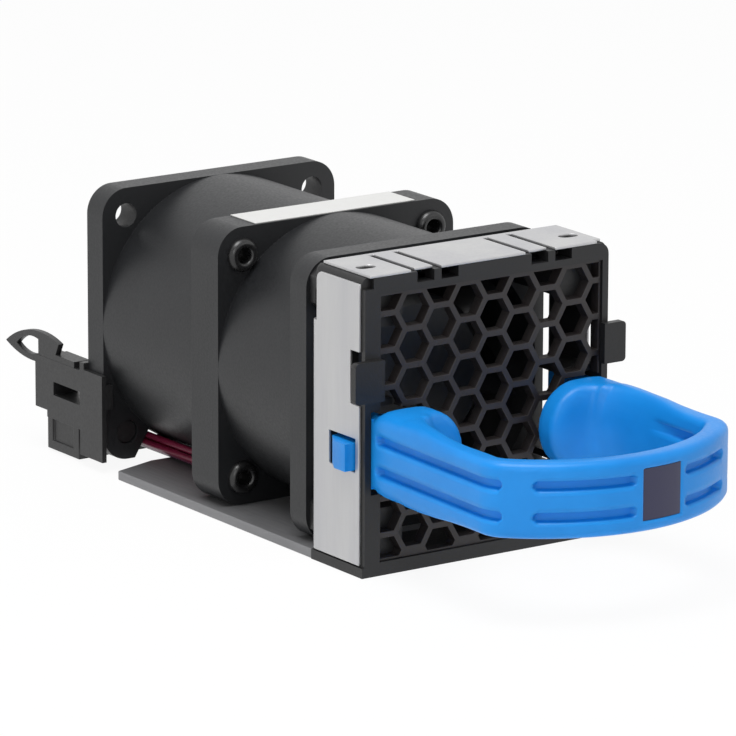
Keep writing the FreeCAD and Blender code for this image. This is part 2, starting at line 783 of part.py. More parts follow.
def latch_tooth():
    # flat locking face at the front, ramp at the back
    x0 = root_half - 0.3
    x1 = module_width / 2 + tooth_reach
    crest = tooth_front + tooth_crest
    points = [V(x0, tooth_front, 0), V(x1, tooth_front, 0), V(x1, crest, 0),
              V(module_width / 2, tooth_back - tooth_shoulder, 0), V(x0, tooth_back, 0),
              V(x0, tooth_front, 0)]
    tooth = Part.Face(Part.makePolygon(points)).extrude(V(0, 0, tooth_high - tooth_low))
    return tooth.translated(V(0, 0, tooth_low))


def arm(band, grooves):
    slot = degrees(hinge_slot / 2 / hinge_radius)
    side = handle_wedge(-80, hinge_angle - slot).common(box(0, 60, -60, 0.6, -5, 60))
    outer = root_half
    tongue = box(outer - arm_inside_thickness, outer, -0.5, arm_inside_length,
                 handle_low + 0.3, handle_high - 0.3)
    across_tip = lambda e: e.BoundBox.XLength > arm_inside_thickness - 0.1 and e.BoundBox.YMin > 1
    tongue = round_edges(tongue, 1.0, across_tip)
    body = fuse([band.common(side), tongue, finger_lobe(), latch_tooth()])
    return body.cut(grooves)


# Connector behind the rear fan

housing_front = rear_y + 2.7
housing_left = -fan_size / 2


def connector_housing():
    x0 = housing_left
    x1 = x0 + housing_width
    y0 = housing_front
    y1 = y0 + housing_length
    z0 = housing_lift
    z1 = z0 + housing_height
    shell = box(x0, x1, y0, y1, z0, z1)
    mouth = box(x0 + housing_wall, x1 - housing_wall, y0 + housing_back, y1 + 1,
                z0 + housing_wall, z1 - housing_wall)
    panel = box(x0 - 1, x0 + 0.3, y0 + 1.6, y1 - 1.4, z0 + 1.4, z1 - 1.6)
    key = box(x1 - 3.2, x1 - 1.8, y1 - 3.0, y1 + 1, z1 - 1.2, z1 + 1)
    return shell.cut([mouth, panel, key])


def contacts():
    y0 = housing_front + housing_back
    half = contact_width / 2
    pins = []
    for i in range(leads_per_fan):
        for j in range(2):
            x = housing_left + housing_width / 2 + (i - (leads_per_fan - 1) / 2) * contact_pitch_x
            z = housing_lift + housing_height / 2 + (j - 0.5) * contact_pitch_z
            pins.append(box(x - half, x + half, y0, y0 + contact_length, z - half, z + half))
    return pins


def connector_carrier():
    left = housing_left - 0.05
    x0 = left - carrier_wall
    x1 = housing_left + housing_width
    hook_y = rear_y - rear_fan_outlet_flange
    top = carrier_height
    cradle_z = housing_lift + housing_height
    back_y = housing_front + housing_length
    side = box(x0, left, hook_y - 0.8, rear_y + 1.1, 1.6, top - 1.0)
    wall = box(x0, x1, rear_y, rear_y + 1.1, 1.6, top)
    hook = box(x0, left + 1.1, hook_y - 0.8, hook_y, fan_z - 12.0, fan_z - 8.5)
    roof = box(x0, x1, rear_y + 1.0, back_y - 1.2, cradle_z, cradle_z + 1.0)
    cheek = box(x0, left, rear_y + 1.0, back_y - 1.2, cradle_z - 2.6, cradle_z + 1.0)
    post = box(x0, x0 + 4.2, rear_y + 3.4, back_y + 2.0, cradle_z + 3.0, cradle_z + 6.2)
    web = box(x0, x0 + 4.2, back_y - 3.0, back_y + 2.0, cradle_z - 1.6, cradle_z + 6.2)
    # below the roof only the thin cheek goes on, so that the plug's mouth stays free
    web = web.cut(box(left, x0 + 5, back_y - 3.2, back_y + 3, cradle_z - 3, cradle_z))
    web = web.cut(box(x0 - 1, x0 + 5, back_y - 3.2, back_y - 1.2, cradle_z - 3, cradle_z))
    brace = box(x0, x0 + 4.2, rear_y + 1.0, rear_y + 4.4, cradle_z + 3.0, cradle_z + 6.2)
    pin = rod_y(-hole_offset, fan_z - hole_offset, fan_hole_diameter / 2 - 0.1, hook_y + 0.4, rear_y + 0.5)
    wire_pass = box(-fan_size / 2 + 4.9, x1 + 1, rear_y - 1, rear_y + 3, 0, 5.6)
    body = fuse([side, wall, hook, roof, cheek, post, web, brace, pin, finger_tab()])
    return body.cut([wire_pass])


def finger_tab():
    # a leaf-shaped pull tab with an open eye, on a curved neck above the connector
    x0 = housing_left - carrier_wall - 0.05
    root_y = housing_front + 4.6
    root_z = housing_lift + housing_height + 6.2
    tip = V(0, root_y + 14.2, root_z + 0.4)
    top = V(0, root_y + 6.6, root_z + 3.4)
    front = V(0, root_y - 0.4, root_z + 2.6)
    low = V(0, root_y + 7.0, root_z - 1.2)
    low_front = V(0, root_y + 1.0, root_z - 0.2)
    edge = [Part.Arc(front, top, tip).toShape(), Part.Arc(tip, low, low_front).toShape(),
            Part.LineSegment(low_front, front).toShape()]
    leaf = Part.Face(Part.Wire(edge)).extrude(V(tab_thickness, 0, 0))
    eye_tip = V(0, root_y + 11.2, root_z + 0.6)
    eye_top = Part.Arc(V(0, root_y + 5.2, root_z + 2.3), V(0, root_y + 8.4, root_z + 2.2), eye_tip)
    eye_low = Part.Arc(eye_tip, V(0, root_y + 8.2, root_z - 0.3), V(0, root_y + 5.2, root_z + 0.2))
    eye_front = Part.LineSegment(V(0, root_y + 5.2, root_z + 0.2), V(0, root_y + 5.2, root_z + 2.3))
    eye = Part.Face(Part.Wire([eye_top.toShape(), eye_low.toShape(), eye_front.toShape()]))
    eye = eye.extrude(V(3, 0, 0)).translated(V(-1, 0, 0))
    neck = box(0, tab_thickness * 3, root_y - 4.6, root_y + 1.6, root_z, root_z + 0.9)
    return fuse([leaf.cut(eye), neck]).translated(V(x0 + 0.05, 0, 0))


# Small parts

def joint_rivets():
    y0 = joint_y - front_fan_joint_flange
    y1 = joint_y + rear_fan_joint_flange
    rivets = []
    for x in (-hole_offset, hole_offset):
        for dz in (-hole_offset, hole_offset):
            z = fan_z + dz
            head = Part.makeCone(rivet_head_diameter / 2 - 0.5, rivet_head_diameter / 2, rivet_head_height,
                                 V(x, y0 - rivet_head_height, z), V(0, 1, 0))
            shank = rod_y(x, z, joint_hole_diameter / 2 - rivet_clearance, y0 - 0.3, y1 + rivet_tail)
            rivets.append(fuse([head, shank]))
    return rivets


def front_screws():
    y0 = fan_y + front_fan_inlet_flange
    screws = []
    for x in (-hole_offset, hole_offset):
        for dz in (-hole_offset, hole_offset):
            z = fan_z + dz
            head = rod_y(x, z, screw_head_diameter / 2, y0, y0 + screw_head_height)
            shank = rod_y(x, z, screw_diameter / 2, fan_y - 6, y0 + 0.3)
            screws.append(fuse([head, shank]))
    return screws


def joint_label():
    y0 = joint_y - front_fan_joint_flange + 0.3
    y1 = joint_y + rear_fan_joint_flange - 0.1
    z0 = fan_z + fan_size / 2
    return box(-label_width / 2, label_width / 2, y0, y1, z0, z0 + label_thickness)


os.makedirs("parts", exist_ok=True)
front_fan = Fan("front", -1, front_fan_length, front_fan_joint_flange, front_fan_inlet_flange,
                joint_hole_diameter, front_blade_count, 1)
rear_fan = Fan("rear", 1, rear_fan_length, rear_fan_joint_flange, rear_fan_outlet_flange,
               fan_hole_diameter, rear_blade_count, 1)
save("bezel", bezel())
save("honeycomb_grille", honeycomb_grille())
save("side_plate_right", side_plate(notch_depth_right))
save("side_plate_left", side_plate(notch_depth_left).mirror(V(0, 0, 0), V(1, 0, 0)))
save("top_plate", top_plate())
band = handle_band()
grooves = handle_grooves()
save("handle_bow", handle_bow(band, grooves))
arm_shape = arm(band, grooves)
save("arm_right", arm_shape)
save("arm_left", arm_shape.mirror(V(0, 0, 0), V(1, 0, 0)))
save("badge", badge())
for fan in (front_fan, rear_fan):
    save(fan.name + "_frame", frame(fan))
    save(fan.name + "_impeller", impeller(fan))
    save(fan.name + "_yoke", yoke(fan))
    save(fan.name + "_magnet", magnet(fan))
    save(fan.name + "_shaft", shaft(fan))
    save(fan.name + "_bearing_tube", bearing_tube(fan))
    save(fan.name + "_bearing_outer_rings",
         bearing_rings(fan, bearing_radius, shaft_radius + bearing_inner_ring + running_gap))
    save(fan.name + "_bearing_inner_rings",
         bearing_rings(fan, shaft_radius + bearing_inner_ring, shaft_radius))
    save(fan.name + "_preload_washer", preload_washer(fan))
    save(fan.name + "_retaining_clip", retaining_clip(fan))
    save(fan.name + "_stator_core", stator(fan))
    save(fan.name + "_windings", windings(fan))
    save(fan.name + "_circuit_board", board(fan))
    save(fan.name + "_leads", leads(fan))
save("joint_rivets", joint_rivets())
save("front_screws", front_screws())
save("joint_label", joint_label())
save("connector_housing", connector_housing())
save("contacts", contacts())
save("connector_carrier", connector_carrier())
print("hinge", round(hinge_x, 3), round(hinge_y, 3))
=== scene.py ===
import math

import bmesh
import bpy
import numpy as np
from mathutils import Matrix, Vector


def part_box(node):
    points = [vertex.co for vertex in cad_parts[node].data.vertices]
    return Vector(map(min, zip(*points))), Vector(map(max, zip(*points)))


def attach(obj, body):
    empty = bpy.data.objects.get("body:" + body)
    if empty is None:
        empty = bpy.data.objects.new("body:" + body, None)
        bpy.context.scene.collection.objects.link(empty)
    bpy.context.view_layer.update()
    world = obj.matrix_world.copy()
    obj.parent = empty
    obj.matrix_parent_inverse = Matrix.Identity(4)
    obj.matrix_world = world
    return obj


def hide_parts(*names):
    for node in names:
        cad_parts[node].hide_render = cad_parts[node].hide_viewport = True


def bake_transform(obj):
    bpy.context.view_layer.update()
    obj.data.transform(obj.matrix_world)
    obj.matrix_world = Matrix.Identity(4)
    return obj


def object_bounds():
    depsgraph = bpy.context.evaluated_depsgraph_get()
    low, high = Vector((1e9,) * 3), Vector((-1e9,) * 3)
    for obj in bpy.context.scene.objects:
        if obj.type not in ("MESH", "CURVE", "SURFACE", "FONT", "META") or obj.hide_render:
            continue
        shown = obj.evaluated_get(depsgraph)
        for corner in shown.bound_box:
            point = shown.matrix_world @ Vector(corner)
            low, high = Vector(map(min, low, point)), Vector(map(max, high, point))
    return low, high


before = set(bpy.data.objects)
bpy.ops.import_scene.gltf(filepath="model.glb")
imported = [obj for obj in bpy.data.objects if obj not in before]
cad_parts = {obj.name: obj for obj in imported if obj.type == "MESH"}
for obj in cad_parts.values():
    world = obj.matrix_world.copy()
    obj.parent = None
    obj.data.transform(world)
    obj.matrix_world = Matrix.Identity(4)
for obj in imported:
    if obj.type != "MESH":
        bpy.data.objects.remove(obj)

cad_low, cad_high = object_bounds()
MM = 0.001


# Small helpers

def linear(hex_colour):
    """The linear colour that an sRGB hex value stands for."""
    channels = [int(hex_colour[i:i + 2], 16) / 255 for i in (0, 2, 4)]
    return tuple(c / 12.92 if c <= 0.04045 else ((c + 0.055) / 1.055) ** 2.4 for c in channels) + (1.0,)


def add_node(tree, kind, inputs=None, **settings):
    """One node in a tree, with its settings, its values and its links."""
    node = tree.nodes.new(kind)
    for name, value in settings.items():
        setattr(node, name, value)
    for name, value in (inputs or {}).items():
        if isinstance(value, bpy.types.NodeSocket):
            tree.links.new(value, node.inputs[name])
        else:
            node.inputs[name].default_value = value
    return node


def new_finish(name, colour, **values):
    """A material with one surface shader, its shader and its tree."""
    material = bpy.data.materials.new(name)
    material.use_nodes = True
    tree = material.node_tree
    shader = tree.nodes["Principled BSDF"]
    shader.inputs["Base Color"].default_value = linear(colour)
    for socket, value in values.items():
        shader.inputs[socket.replace("_", " ")].default_value = value
    return material, tree, shader


def grain(tree, shader, size, depth, roughness=None, stretch=(1, 1, 1)):
    """A fine surface grain: size is its spacing and depth its height, both in metres.

    Moulded and plated skins are drawn a few times coarser than they are, because the real texture is too
    fine to show at this distance.
    """
    place = add_node(tree, "ShaderNodeTexCoord")
    mapped = add_node(tree, "ShaderNodeMapping", {"Vector": place.outputs["Object"], "Scale": stretch})
    noise = add_node(tree, "ShaderNodeTexNoise", {"Vector": mapped.outputs["Vector"], "Scale": 1 / size,
                                                  "Detail": 2.0})
    bump = add_node(tree, "ShaderNodeBump", {"Height": noise.outputs["Fac"], "Distance": depth,
                                             "Strength": 1.0})
    tree.links.new(bump.outputs["Normal"], shader.inputs["Normal"])
    if roughness:
        spread = add_node(tree, "ShaderNodeMapRange", {"Value": noise.outputs["Fac"], "From Min": 0.3,
                                                       "From Max": 0.7, "To Min": roughness[0],
                                                       "To Max": roughness[1]})
        tree.links.new(spread.outputs["Result"], shader.inputs["Roughness"])
    return mapped


def cloudy_colour(tree, shader, place, low, high, size):
    """A slow drift between two colours over the surface, as mouldings and plating have."""
    noise = add_node(tree, "ShaderNodeTexNoise", {"Vector": place.outputs["Vector"], "Scale": 1 / size,
                                                  "Detail": 3.0})
    ramp = add_node(tree, "ShaderNodeValToRGB", {"Fac": noise.outputs["Fac"]})
    ramp.color_ramp.elements[0].position = 0.3
    ramp.color_ramp.elements[0].color = linear(low)
    ramp.color_ramp.elements[1].position = 0.7
    ramp.color_ramp.elements[1].color = linear(high)
    tree.links.new(ramp.outputs["Color"], shader.inputs["Base Color"])


# Materials

def moulded_pbt():
    # glass-filled polyester of the fan frames: near black, with a satin skin of fine spark-eroded texture
    material, tree, shader = new_finish("moulded_pbt", "191a1c", IOR=1.55, Specular_IOR_Level=0.36)
    place = grain(tree, shader, 0.35 * MM, 0.012 * MM, roughness=(0.38, 0.5))
    cloudy_colour(tree, shader, place, "17181a", "1c1d1f", 9 * MM)
    return material


def rotor_pbt():
    # the same plastic moulded in a polished cavity, so it is glossier than the frames
    material, tree, shader = new_finish("rotor_pbt", "17181a", IOR=1.55)
    grain(tree, shader, 0.6 * MM, 0.006 * MM, roughness=(0.28, 0.38))
    return material


def moulded_abs():
    # flame-retardant ABS blend of the bezel and its tray: black with a fine matt texture
    material, tree, shader = new_finish("moulded_abs", "181819", IOR=1.53, Specular_IOR_Level=0.4)
    place = grain(tree, shader, 0.3 * MM, 0.014 * MM, roughness=(0.38, 0.52))
    cloudy_colour(tree, shader, place, "161617", "1b1b1c", 7 * MM)
    return material


def guard_abs():
    # the guard's ABS is a little browner, and drawn lighter than the bezel's as painted light on its
    # front-facing bars; its bars shine along their edges
    material, tree, shader = new_finish("guard_abs", "2a2626", IOR=1.53, Specular_IOR_Level=0.4)
    grain(tree, shader, 0.3 * MM, 0.008 * MM, roughness=(0.36, 0.48))
    return material


def plated_steel():
    # zinc-plated spring steel sheet: pale grey, with faint rolling lines and cloudy plating
    material, tree, shader = new_finish("plated_steel", "bcbcbe", Metallic=0.7)
    place = grain(tree, shader, 0.5 * MM, 0.004 * MM, roughness=(0.36, 0.48), stretch=(1, 1, 0.1))
    cloudy_colour(tree, shader, place, "b6b6b9", "c2c2c2", 6 * MM)
    return material


def tray_sheet():
    # the tray's duller grey sheet: the side plates' steel drawn darker, as painted shade, because it lies in
    # the module's shade
    material, tree, shader = new_finish("tray_sheet", "808082", Metallic=0.5)
    place = grain(tree, shader, 0.5 * MM, 0.004 * MM, roughness=(0.42, 0.54), stretch=(1, 0.1, 1))
    cloudy_colour(tree, shader, place, "7a7a7c", "868688", 6 * MM)
    return material


def handle_nylon():
    # blue nylon moulding with a soft satin skin that turns paler where it catches the light
    material, tree, shader = new_finish("handle_nylon", "168ee6", IOR=1.53, Specular_IOR_Level=0.3)
    place = grain(tree, shader, 0.4 * MM, 0.008 * MM, roughness=(0.34, 0.44))
    cloudy_colour(tree, shader, place, "1287dc", "1a91e8", 8 * MM)
    return material


def badge_resin():
    # a plate under clear domed resin: dark navy with a hard gloss
    material, tree, shader = new_finish("badge_resin", "141440", Roughness=0.3, Coat_Weight=0.3,
                                        Coat_Roughness=0.08)
    grain(tree, shader, 1.2 * MM, 0.01 * MM)
    return material


def label_film():
    # white polyester film: smooth and faintly glossy, with a trace of the adhesive's orange peel
    material, tree, shader = new_finish("label_film", "d8d8d6", IOR=1.6)
    grain(tree, shader, 1.5 * MM, 0.01 * MM, roughness=(0.3, 0.4))
    return material


def wire_pvc(name, colour):
    # PVC insulation: a smooth extruded skin with a soft gloss
    material, tree, shader = new_finish("wire_pvc_" + name, colour, IOR=1.53)
    grain(tree, shader, 0.5 * MM, 0.01 * MM, roughness=(0.3, 0.42))
    return material


def rivet_nylon():
    # black nylon rivets, with a polished rounded head
    material, tree, shader = new_finish("rivet_nylon", "141415", IOR=1.53)
    grain(tree, shader, 0.8 * MM, 0.006 * MM, roughness=(0.24, 0.34))
    return material


def connector_nylon():
    # the plug housing and its carrier: matt black nylon
    material, tree, shader = new_finish("connector_nylon", "1a1a1b", IOR=1.53)
    grain(tree, shader, 0.35 * MM, 0.01 * MM, roughness=(0.38, 0.5))
    return material


def metal(name, colour, roughness, size=0.4 * MM, depth=0.002 * MM, stretch=(1, 1, 1)):
    # a bare or plated metal with the fine marks of how it was made
    material, tree, shader = new_finish(name, colour, Metallic=1.0)
    grain(tree, shader, size, depth, roughness=roughness, stretch=stretch)
    return material


def ferrite_rubber():
    # plastic-bonded ferrite: dull dark grey and slightly porous
    material, tree, shader = new_finish("ferrite_rubber", "303032")
    grain(tree, shader, 0.15 * MM, 0.02 * MM, roughness=(0.6, 0.75))
    return material


def board_laminate():
    # green solder mask over glass laminate, with the weave just showing
    material, tree, shader = new_finish("board_laminate", "1e5a34", IOR=1.5, Coat_Weight=0.3)
    grain(tree, shader, 0.3 * MM, 0.006 * MM, roughness=(0.35, 0.45))
    return material


FINISHES = {
    "pbt": moulded_pbt(),
    "rotor": rotor_pbt(),
    "abs": moulded_abs(),
    "guard": guard_abs(),
    "plate": plated_steel(),
    "tray": tray_sheet(),
    "handle": handle_nylon(),
    "badge": badge_resin(),
    "label": label_film(),
    "rivet": rivet_nylon(),
    "connector": connector_nylon(),
    "yoke": metal("zinc_steel_yoke", "9a9ba0", (0.3, 0.42)),
    "shaft": metal("ground_steel", "c4c5c8", (0.12, 0.22)),
    "bearing": metal("bearing_steel", "c8c9cc", (0.1, 0.18)),
    "spring": metal("spring_steel", "a8a8a8", (0.25, 0.35)),
    "brass": metal("turned_brass", "b8964e", (0.2, 0.32)),
    "stator": metal("stacked_silicon_steel", "6e6f74", (0.35, 0.5), size=0.5 * MM, depth=0.03 * MM,
                    stretch=(0.05, 1, 0.05)),
    "screw": metal("black_zinc_screw", "4a4b4e", (0.25, 0.38)),
    "copper": metal("enamelled_copper", "b4622c", (0.2, 0.35), size=0.3 * MM, depth=0.03 * MM),
    "contact": metal("tin_plate", "d0cfc6", (0.18, 0.28)),
    "magnet": ferrite_rubber(),
    "board": board_laminate(),
    "red_wire": wire_pvc("red", "8a1420"),
    "black_wire": wire_pvc("black", "141416"),
    "maroon_wire": wire_pvc("maroon", "6a1030"),
    # the mauve wire's colour is a painted highlight: the pinkish sheen of a red wire, given to a whole wire
    "mauve_wire": wire_pvc("mauve", "7a4460"),
}


# Mesh tools

def new_object(name, data):
    """An object in the scene that holds a mesh, a curve, a lamp or a camera."""
    thing = bpy.data.objects.new(name, data)
    bpy.context.scene.collection.objects.link(thing)
    return thing


def finished_piece(name, mesh, finish, slot, *nodes):
    """A mesh in its finish, as a piece that stands for one or more CAD nodes."""
    mesh.materials.clear()
    mesh.materials.append(FINISHES[finish])
    piece = new_object(name, mesh)
    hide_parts(*nodes)
    return piece


def chassis_piece(name, mesh, finish, slot, *nodes):
    """A finished piece that stays still with the chassis."""
    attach(finished_piece(name, mesh, finish, slot, *nodes), "chassis")


def smooth_with_edges(mesh, angle=35):
    """Smooth shading, kept sharp where two faces meet at more than the angle."""
    mesh.shade_smooth()
    mesh.set_sharp_from_angle(angle=math.radians(angle))
    return mesh


def applied(piece):
    """The piece's mesh with its modifiers made real."""
    graph = bpy.context.evaluated_depsgraph_get()
    return bpy.data.meshes.new_from_object(piece.evaluated_get(graph), preserve_all_data_layers=True,
                                           depsgraph=graph)


def merged_copy(node, keep=()):
    """A CAD node's mesh, cut at planes, with its loose triangles joined and its flat faces made whole."""
    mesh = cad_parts[node].data.copy()
    shape = bmesh.new()
    shape.from_mesh(mesh)
    bmesh.ops.remove_doubles(shape, verts=shape.verts, dist=0.002 * MM)
    for point, normal in keep:
        parts = shape.verts[:] + shape.edges[:] + shape.faces[:]
        cut = bmesh.ops.bisect_plane(shape, geom=parts, plane_co=point, plane_no=normal, clear_inner=True)
        edges = [e for e in cut["geom_cut"] if isinstance(e, bmesh.types.BMEdge)]
        if edges:
            bmesh.ops.contextual_create(shape, geom=edges)
    bmesh.ops.dissolve_limit(shape, angle_limit=math.radians(1), verts=shape.verts, edges=shape.edges)
    shape.to_mesh(mesh)
    shape.free()
    mesh.materials.clear()
    return mesh


def bevelled(mesh, width):
    """The mesh with its sharp edges rounded, as a moulded or pressed edge is."""
    holder = new_object("holder", mesh)
    mesh.shade_smooth()
    bevel = holder.modifiers.new("edges", "BEVEL")
    bevel.width = width
    bevel.segments = 2
    bevel.limit_method = "ANGLE"
    bevel.angle_limit = math.radians(30)
    bevel.use_clamp_overlap = True
    shading = holder.modifiers.new("shading", "WEIGHTED_NORMAL")
    shading.keep_sharp = True
    result = applied(holder)
    bpy.data.objects.remove(holder)
    return result


def joined(name, meshes):
    """Several meshes as one, each turned outwards."""
    shape = bmesh.new()
    for mesh in meshes:
        shape.from_mesh(mesh)
    bmesh.ops.remove_doubles(shape, verts=shape.verts, dist=0.0005 * MM)
    bmesh.ops.recalc_face_normals(shape, faces=shape.faces)
    whole = bpy.data.meshes.new(name)
    shape.to_mesh(whole)
    shape.free()
    return whole


def mesh_of(name, points, faces):
    """A mesh from points and faces, turned outwards."""
    mesh = bpy.data.meshes.new(name)
    mesh.from_pydata(points, [], faces)
    return joined(name, [mesh])


TURNED_SIDES = 48


def lathed(name, profile):
    """A solid turned about the Y axis: each ring is a radius, a place along Y and whether it is six-sided."""
    points, faces, rings = [], [], []
    for radius, y, six_sided in profile:
        if radius < 1e-7:
            rings.append([len(points)])
            points.append((0, y, 0))
            continue
        rings.append(list(range(len(points), len(points) + TURNED_SIDES)))
        for k in range(TURNED_SIDES):
            a = 2 * math.pi * k / TURNED_SIDES
            r = radius / math.cos((a % (math.pi / 3)) - math.pi / 6) if six_sided else radius
            points.append((r * math.cos(a), y, r * math.sin(a)))
    for first, second in zip(rings, rings[1:]):
        for k in range(TURNED_SIDES):
            n = (k + 1) % TURNED_SIDES
            loop = [first[k % len(first)], first[n % len(first)],
                    second[n % len(second)], second[k % len(second)]]
            faces.append([v for i, v in enumerate(loop) if v not in loop[:i]])
    return mesh_of(name, points, faces)


# Geometry node tools

def new_tree(name, inputs):
    """A geometry tree with named inputs: its nodes' group input and a function that ends it."""
    tree = bpy.data.node_groups.new(name, "GeometryNodeTree")
    tree.interface.new_socket("Geometry", in_out="INPUT", socket_type="NodeSocketGeometry")
    for label, kind in inputs.items():
        tree.interface.new_socket(label, in_out="INPUT", socket_type="NodeSocket" + kind)
    tree.interface.new_socket("Material", in_out="INPUT", socket_type="NodeSocketMaterial")
    tree.interface.new_socket("Geometry", in_out="OUTPUT", socket_type="NodeSocketGeometry")
    given = tree.nodes.new("NodeGroupInput").outputs

    def finish(geometry):
        real = add_node(tree, "GeometryNodeRealizeInstances", {"Geometry": geometry})
        painted = add_node(tree, "GeometryNodeSetMaterial", {"Geometry": real.outputs[0],
                                                             "Material": given["Material"]})
        add_node(tree, "NodeGroupOutput", {"Geometry": painted.outputs[0]})

    return tree, given, finish


def grown(name, data, tree, finish, **sizes):
    """The plain mesh that a geometry tree makes of a mesh or a curve, with the tree's named inputs set."""
    holder = new_object(name, data)
    modifier = holder.modifiers.new("nodes", "NODES")
    modifier.node_group = tree
    sizes["Material"] = FINISHES[finish]
    for item in tree.interface.items_tree:
        if item.in_out == "INPUT" and item.name.replace(" ", "_") in sizes:
            modifier[item.identifier] = sizes[item.name.replace(" ", "_")]
    mesh = applied(holder)
    bpy.data.objects.remove(holder)
    return joined(name, [mesh])


def corner_copies():
    """Copies of the given solid at the four corners of a square in the XZ plane."""
    tree, given, finish = new_tree("corner_copies", {"Spacing": "Float", "Middle Height": "Float"})
    square = add_node(tree, "GeometryNodeMeshGrid", {"Size X": given["Spacing"], "Size Y": given["Spacing"],
                                                     "Vertices X": 2, "Vertices Y": 2})
    place = add_node(tree, "ShaderNodeCombineXYZ", {"Z": given["Middle Height"]})
    upright = add_node(tree, "GeometryNodeTransform", {"Geometry": square.outputs[0],
                                                       "Translation": place.outputs[0],
                                                       "Rotation": (math.pi / 2, 0, 0)})
    copies = add_node(tree, "GeometryNodeInstanceOnPoints", {"Points": upright.outputs[0],
                                                             "Instance": given["Geometry"]})
    finish(copies.outputs[0])
    return tree


def grid_copies():
    """Copies of the given solid in rows and columns in the XZ plane."""
    tree, given, finish = new_tree("grid_copies", {
        "Columns": "Int", "Rows": "Int", "Width": "Float", "Height": "Float",
        "Middle X": "Float", "Middle Z": "Float"})
    grid = add_node(tree, "GeometryNodeMeshGrid", {
        "Size X": given["Width"], "Size Y": given["Height"],
        "Vertices X": given["Columns"], "Vertices Y": given["Rows"]})
    place = add_node(tree, "ShaderNodeCombineXYZ", {"X": given["Middle X"], "Z": given["Middle Z"]})
    upright = add_node(tree, "GeometryNodeTransform", {"Geometry": grid.outputs[0],
                                                       "Translation": place.outputs[0],
                                                       "Rotation": (math.pi / 2, 0, 0)})
    copies = add_node(tree, "GeometryNodeInstanceOnPoints", {"Points": upright.outputs[0],
                                                             "Instance": given["Geometry"]})
    finish(copies.outputs[0])
    return tree


def honeycomb():
    """The given plate with six-sided cells cut through it inside a window, in columns half a row apart."""
    tree, given, finish = new_tree("honeycomb", {
        "Columns": "Int", "Rows": "Int", "Column Step": "Float", "Row Step": "Float", "Cell Radius": "Float",
        "Cell Middle": "Vector", "Window": "Vector", "Window Middle": "Vector", "Overlap": "Float"})
    spans = []
    for number, step in (("Columns", "Column Step"), ("Rows", "Row Step")):
        gaps = add_node(tree, "ShaderNodeMath", {0: given[number], 1: 1.0}, operation="SUBTRACT")
        spans.append(add_node(tree, "ShaderNodeMath", {0: gaps.outputs[0], 1: given[step]},
                              operation="MULTIPLY").outputs[0])
    grid = add_node(tree, "GeometryNodeMeshGrid", {
        "Size X": spans[0], "Size Y": spans[1],
        "Vertices X": given["Columns"], "Vertices Y": given["Rows"]})
    index = add_node(tree, "GeometryNodeInputIndex")
    share = add_node(tree, "ShaderNodeMath", {0: index.outputs[0], 1: given["Rows"]}, operation="DIVIDE")
    column = add_node(tree, "ShaderNodeMath", {0: share.outputs[0]}, operation="FLOOR")
    odd = add_node(tree, "ShaderNodeMath", {0: column.outputs[0], 1: 2.0}, operation="MODULO")
    half_row = add_node(tree, "ShaderNodeMath", {0: given["Row Step"], 1: 0.5}, operation="MULTIPLY")
    rise = add_node(tree, "ShaderNodeMath", {0: odd.outputs[0], 1: half_row.outputs[0]}, operation="MULTIPLY")
    shift = add_node(tree, "ShaderNodeCombineXYZ", {"Y": rise.outputs[0]})
    stepped = add_node(tree, "GeometryNodeSetPosition", {"Geometry": grid.outputs[0],
                                                         "Offset": shift.outputs[0]})
    upright = add_node(tree, "GeometryNodeTransform", {"Geometry": stepped.outputs[0],
                                                       "Translation": given["Cell Middle"],
                                                       "Rotation": (math.pi / 2, 0, 0)})
    place = add_node(tree, "GeometryNodeInputPosition")
    off = add_node(tree, "ShaderNodeVectorMath", {0: place.outputs[0], 1: given["Window Middle"]},
                   operation="SUBTRACT")
    distance = add_node(tree, "ShaderNodeVectorMath", {0: off.outputs[0]}, operation="ABSOLUTE")
    away = add_node(tree, "ShaderNodeSeparateXYZ", {0: distance.outputs[0]})
    window = add_node(tree, "ShaderNodeSeparateXYZ", {0: given["Window"]})
    within = []
    for axis in ("X", "Z"):
        half = add_node(tree, "ShaderNodeMath", {0: window.outputs[axis], 1: 0.5}, operation="MULTIPLY")
        limit = add_node(tree, "ShaderNodeMath", {0: half.outputs[0], 1: given["Overlap"]}, operation="ADD")
        within.append(add_node(tree, "ShaderNodeMath", {0: away.outputs[axis], 1: limit.outputs[0]},
                               operation="LESS_THAN").outputs[0])
    kept = add_node(tree, "ShaderNodeMath", {0: within[0], 1: within[1]}, operation="MULTIPLY")
    cell = add_node(tree, "GeometryNodeMeshCylinder", {"Vertices": 6, "Radius": given["Cell Radius"],
                                                       "Depth": window.outputs["Y"]})
    cells = add_node(tree, "GeometryNodeInstanceOnPoints", {
        "Points": upright.outputs[0], "Instance": cell.outputs[0], "Rotation": (math.pi / 2, 0, 0),
        "Selection": kept.outputs[0]})
    real = add_node(tree, "GeometryNodeRealizeInstances", {"Geometry": cells.outputs[0]})
    pane = add_node(tree, "GeometryNodeTransform", {
        "Geometry": add_node(tree, "GeometryNodeMeshCube", {"Size": given["Window"]}).outputs[0],
        "Translation": given["Window Middle"]})
    # both solids of an intersection go into the one socket, which takes several links
    clipped = add_node(tree, "GeometryNodeMeshBoolean", {"Mesh 2": real.outputs[0]},
                       operation="INTERSECT", solver="EXACT")
    tree.links.new(pane.outputs[0], clipped.inputs["Mesh 2"])
    cut = add_node(tree, "GeometryNodeMeshBoolean", {"Mesh 1": given["Geometry"],
                                                     "Mesh 2": clipped.outputs[0]},
                   operation="DIFFERENCE", solver="EXACT")
    finish(cut.outputs[0])
    return tree


